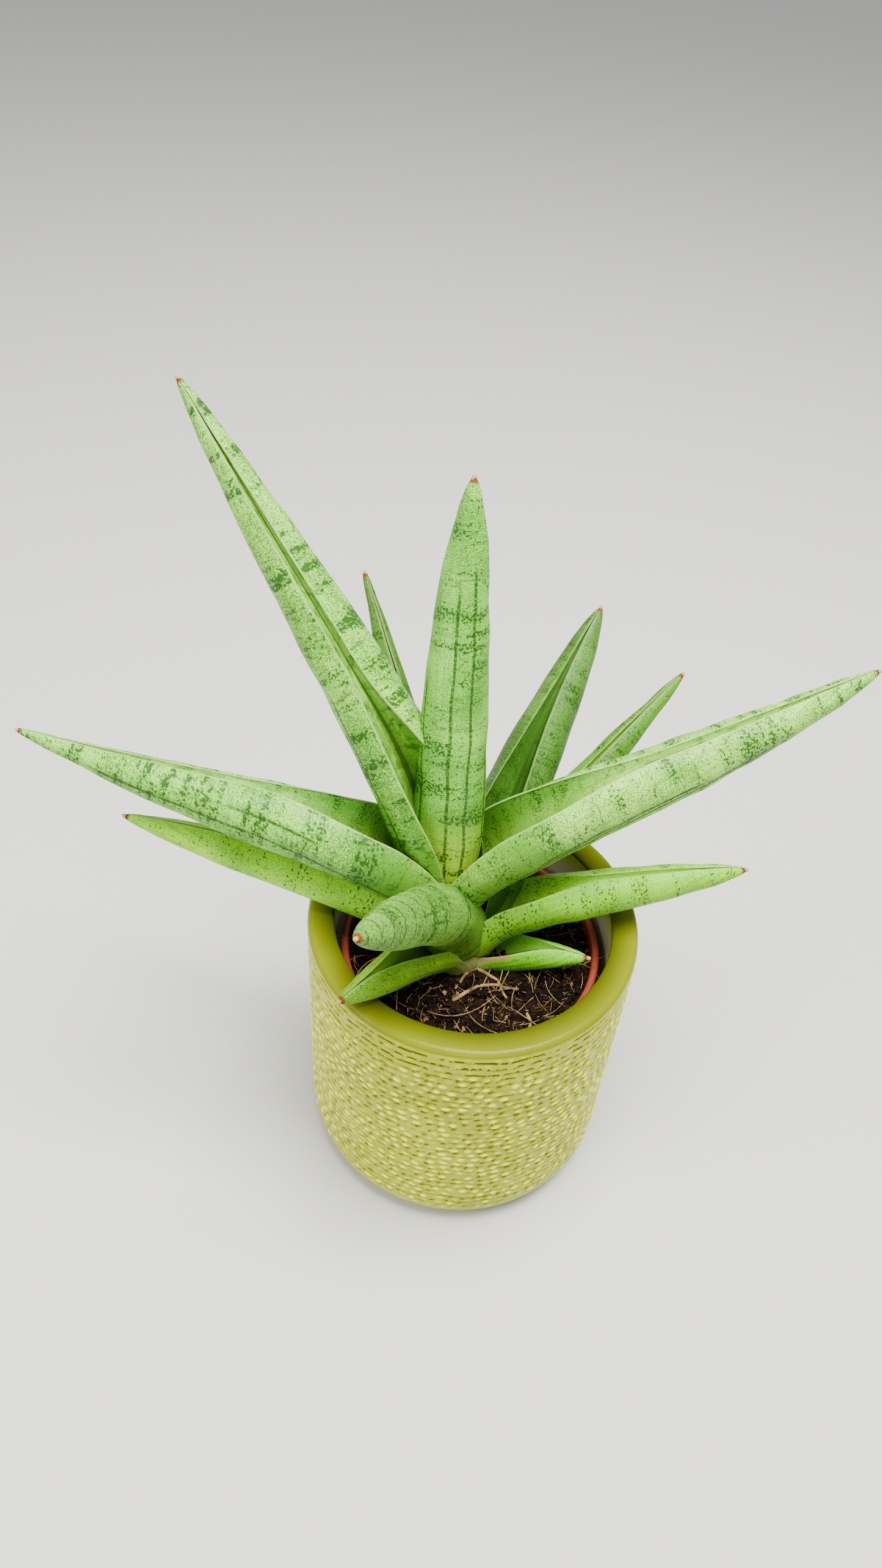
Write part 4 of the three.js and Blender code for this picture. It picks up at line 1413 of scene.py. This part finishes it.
    def root_paths(self) -> list[tuple[np.ndarray, np.ndarray]]:
        """Lays the roots over the soil.

        Returns:
            The path of each root and the radius along it, those that leave the stem first.
        """
        soil, roots = Soil(), []
        foot = Stem.axis(soil.crown_height)
        for number, (azimuth, reach, bend, thickness) in enumerate(self.grown_roots):
            t = np.linspace(0, 1, 26)
            heading = np.radians(azimuth + bend * t * t + 4 * np.sin(7 * t + number))
            out = mix(6, reach, t)
            x, y = foot[0] + out * np.cos(heading), foot[1] + out * np.sin(heading)
            path = np.stack([x, y, soil.surface(x, y) + 1.1 * thickness - 1.1 * t], -1)
            roots.append((path, thickness * (1 - 0.45 * t)))
        for number, places in enumerate(self.laid_roots):
            t = np.linspace(0, 1, 24)
            x, y = (np.interp(t, np.linspace(0, 1, len(places)), [p[i] for p in places]) for i in (0, 1))
            x, y = x + 0.2 * np.sin(9 * t + number), y + 0.2 * np.sin(11 * t + 2 * number)
            path = np.stack([x, y, soil.surface(x, y) + 1.2 + 0.8 * np.sin(math.pi * t)], -1)
            roots.append((path, mix(self.root_radius, 0.45, t)))
        return roots

    def stem(self) -> Piece:
        """Builds and dresses the stem, with the scars of old leaves, and its thick roots.

        Returns:
            The stem and the roots, as one piece.
        """
        rows, around = self.stem_rows, self.stem_sides
        z = np.linspace(Stem.bottom, Stem.top, rows)
        girth = np.interp(np.linspace(0, 1, rows), *zip(*self.girths))
        scars = 0.25 * np.abs(np.sin(TURN * z / self.scar_spacing)) ** 0.5
        angles = TURN * np.arange(around) / around
        wave = 1 + 0.03 * waves(np.cos(angles)[None, :], z[:, None] / 9, 21)
        radius = (girth - scars)[:, None] * wave
        offsets = np.stack([radius * np.cos(angles), radius * np.sin(angles), 0 * radius], -1)
        points = (Stem.axis(z)[:, None, :] + offsets).reshape(-1, 3)
        faces = grid_faces(rows, around)
        faces.append(tuple(range(around - 1, -1, -1)))
        faces.append(tuple(range((rows - 1) * around, rows * around)))
        for path, radii in self.root_paths():
            skin, skin_faces = tube_skin(path, radii)
            faces += [tuple(len(points) + i for i in face) for face in skin_faces]
            points = np.concatenate([points, skin])
        stem = new_object("stem_and_roots", points, faces)
        stem.data.materials.append(self.fibre.material())
        return wear_slot(stem, "crown_stem")

    def make(self) -> list[Piece]:
        """Builds and dresses the stem and every leaf, and returns them."""
        return [self.stem(), *(leaf.make(i + 1) for i, leaf in enumerate(self.leaves()))]


@dataclass(frozen=True)
class Lamp:
    """A square soft light: its place in metres, its side and its power in watts."""

    name: str
    place: tuple[float, float, float]
    size: float
    power: float


@dataclass(frozen=True)
class Studio:
    """The pale floor, the soft lights and the camera at the photograph's viewing angle."""

    camera_place: tuple[float, float, float] = (-0.0154, -0.2534, 0.4263)
    pitch: float = 43.8
    roll: float = -4.32
    lens: float = 24.99
    sensor: float = 36.0
    nearest: float = 0.01
    lamps: tuple[Lamp, ...] = (
        Lamp("ceiling_light", (0.18, -0.05, 1.35), 0.7, 55.0),
        Lamp("window_light", (-1.0, -0.5, 0.8), 0.9, 14.0),
    )
    lit_place: tuple[float, float, float] = (0, 0, 0.12)
    sky: str = "#f4f6fa"
    sky_strength: float = 0.66
    floor_side: float = 6000
    paint: str = "#cbc9c4"

    def camera(self) -> None:
        """Creates the camera, which looks down on the plant from the front."""
        lens = bpy.data.cameras.new("camera")
        lens.sensor_width, lens.lens, lens.clip_start = self.sensor, self.lens, self.nearest
        camera = bpy.data.objects.new("camera", lens)
        down_angle, roll = math.radians(self.pitch), math.radians(self.roll)
        forward = Vector((0, math.cos(down_angle), -math.sin(down_angle)))
        right = Vector((1, 0, 0))
        down = Vector((0, -math.sin(down_angle), -math.cos(down_angle)))
        image_right = right * math.cos(roll) + down * math.sin(roll)
        image_down = down * math.cos(roll) - right * math.sin(roll)
        turned = Matrix((image_right, -image_down, -forward)).transposed()
        camera.matrix_world = Matrix.Translation(self.camera_place) @ turned.to_4x4()
        bpy.context.scene.collection.objects.link(camera)
        bpy.context.scene.camera = camera

    def floor(self) -> None:
        """Creates the plain pale floor."""
        side = self.floor_side
        corners = np.array([(-side, -side, 0), (side, -side, 0), (side, side, 0), (-side, side, 0)], float)
        floor = new_object("studio_floor", corners, [(0, 1, 2, 3)])
        material, _, _ = new_material("matt_pale_paint", Base_Color=srgb(self.paint), Roughness=0.7)
        floor.data.materials.append(material)

    def lights(self) -> None:
        """Creates a soft overhead light, a weak fill and the even light of the room."""
        for lamp in self.lamps:
            light = bpy.data.lights.new(lamp.name, "AREA")
            light.shape, light.size, light.energy = "SQUARE", lamp.size, lamp.power
            source = bpy.data.objects.new(lamp.name, light)
            source.location = lamp.place
            aim = Vector(self.lit_place) - Vector(lamp.place)
            source.rotation_euler = aim.to_track_quat("-Z", "Y").to_euler()
            bpy.context.scene.collection.objects.link(source)
        world = bpy.data.worlds.new("even_room_light")
        world.use_nodes = True
        sky = world.node_tree.nodes["Background"]
        sky.inputs["Color"].default_value = srgb(self.sky)
        sky.inputs["Strength"].default_value = self.sky_strength
        bpy.context.scene.world = world

    def make(self) -> None:
        """Sets up the camera, the floor and the lights."""
        self.camera()
        self.floor()
        self.lights()


def main() -> None:
    """Builds the studio, the pots, the soil and the plant, and reports each piece."""
    logging.basicConfig(level=logging.INFO, format="%(name)s %(message)s")
    Studio().make()
    Cachepot().make()
    GrowPot().make()
    Soil().make()
    Crown().make()


if __name__ == "__main__":
    main()
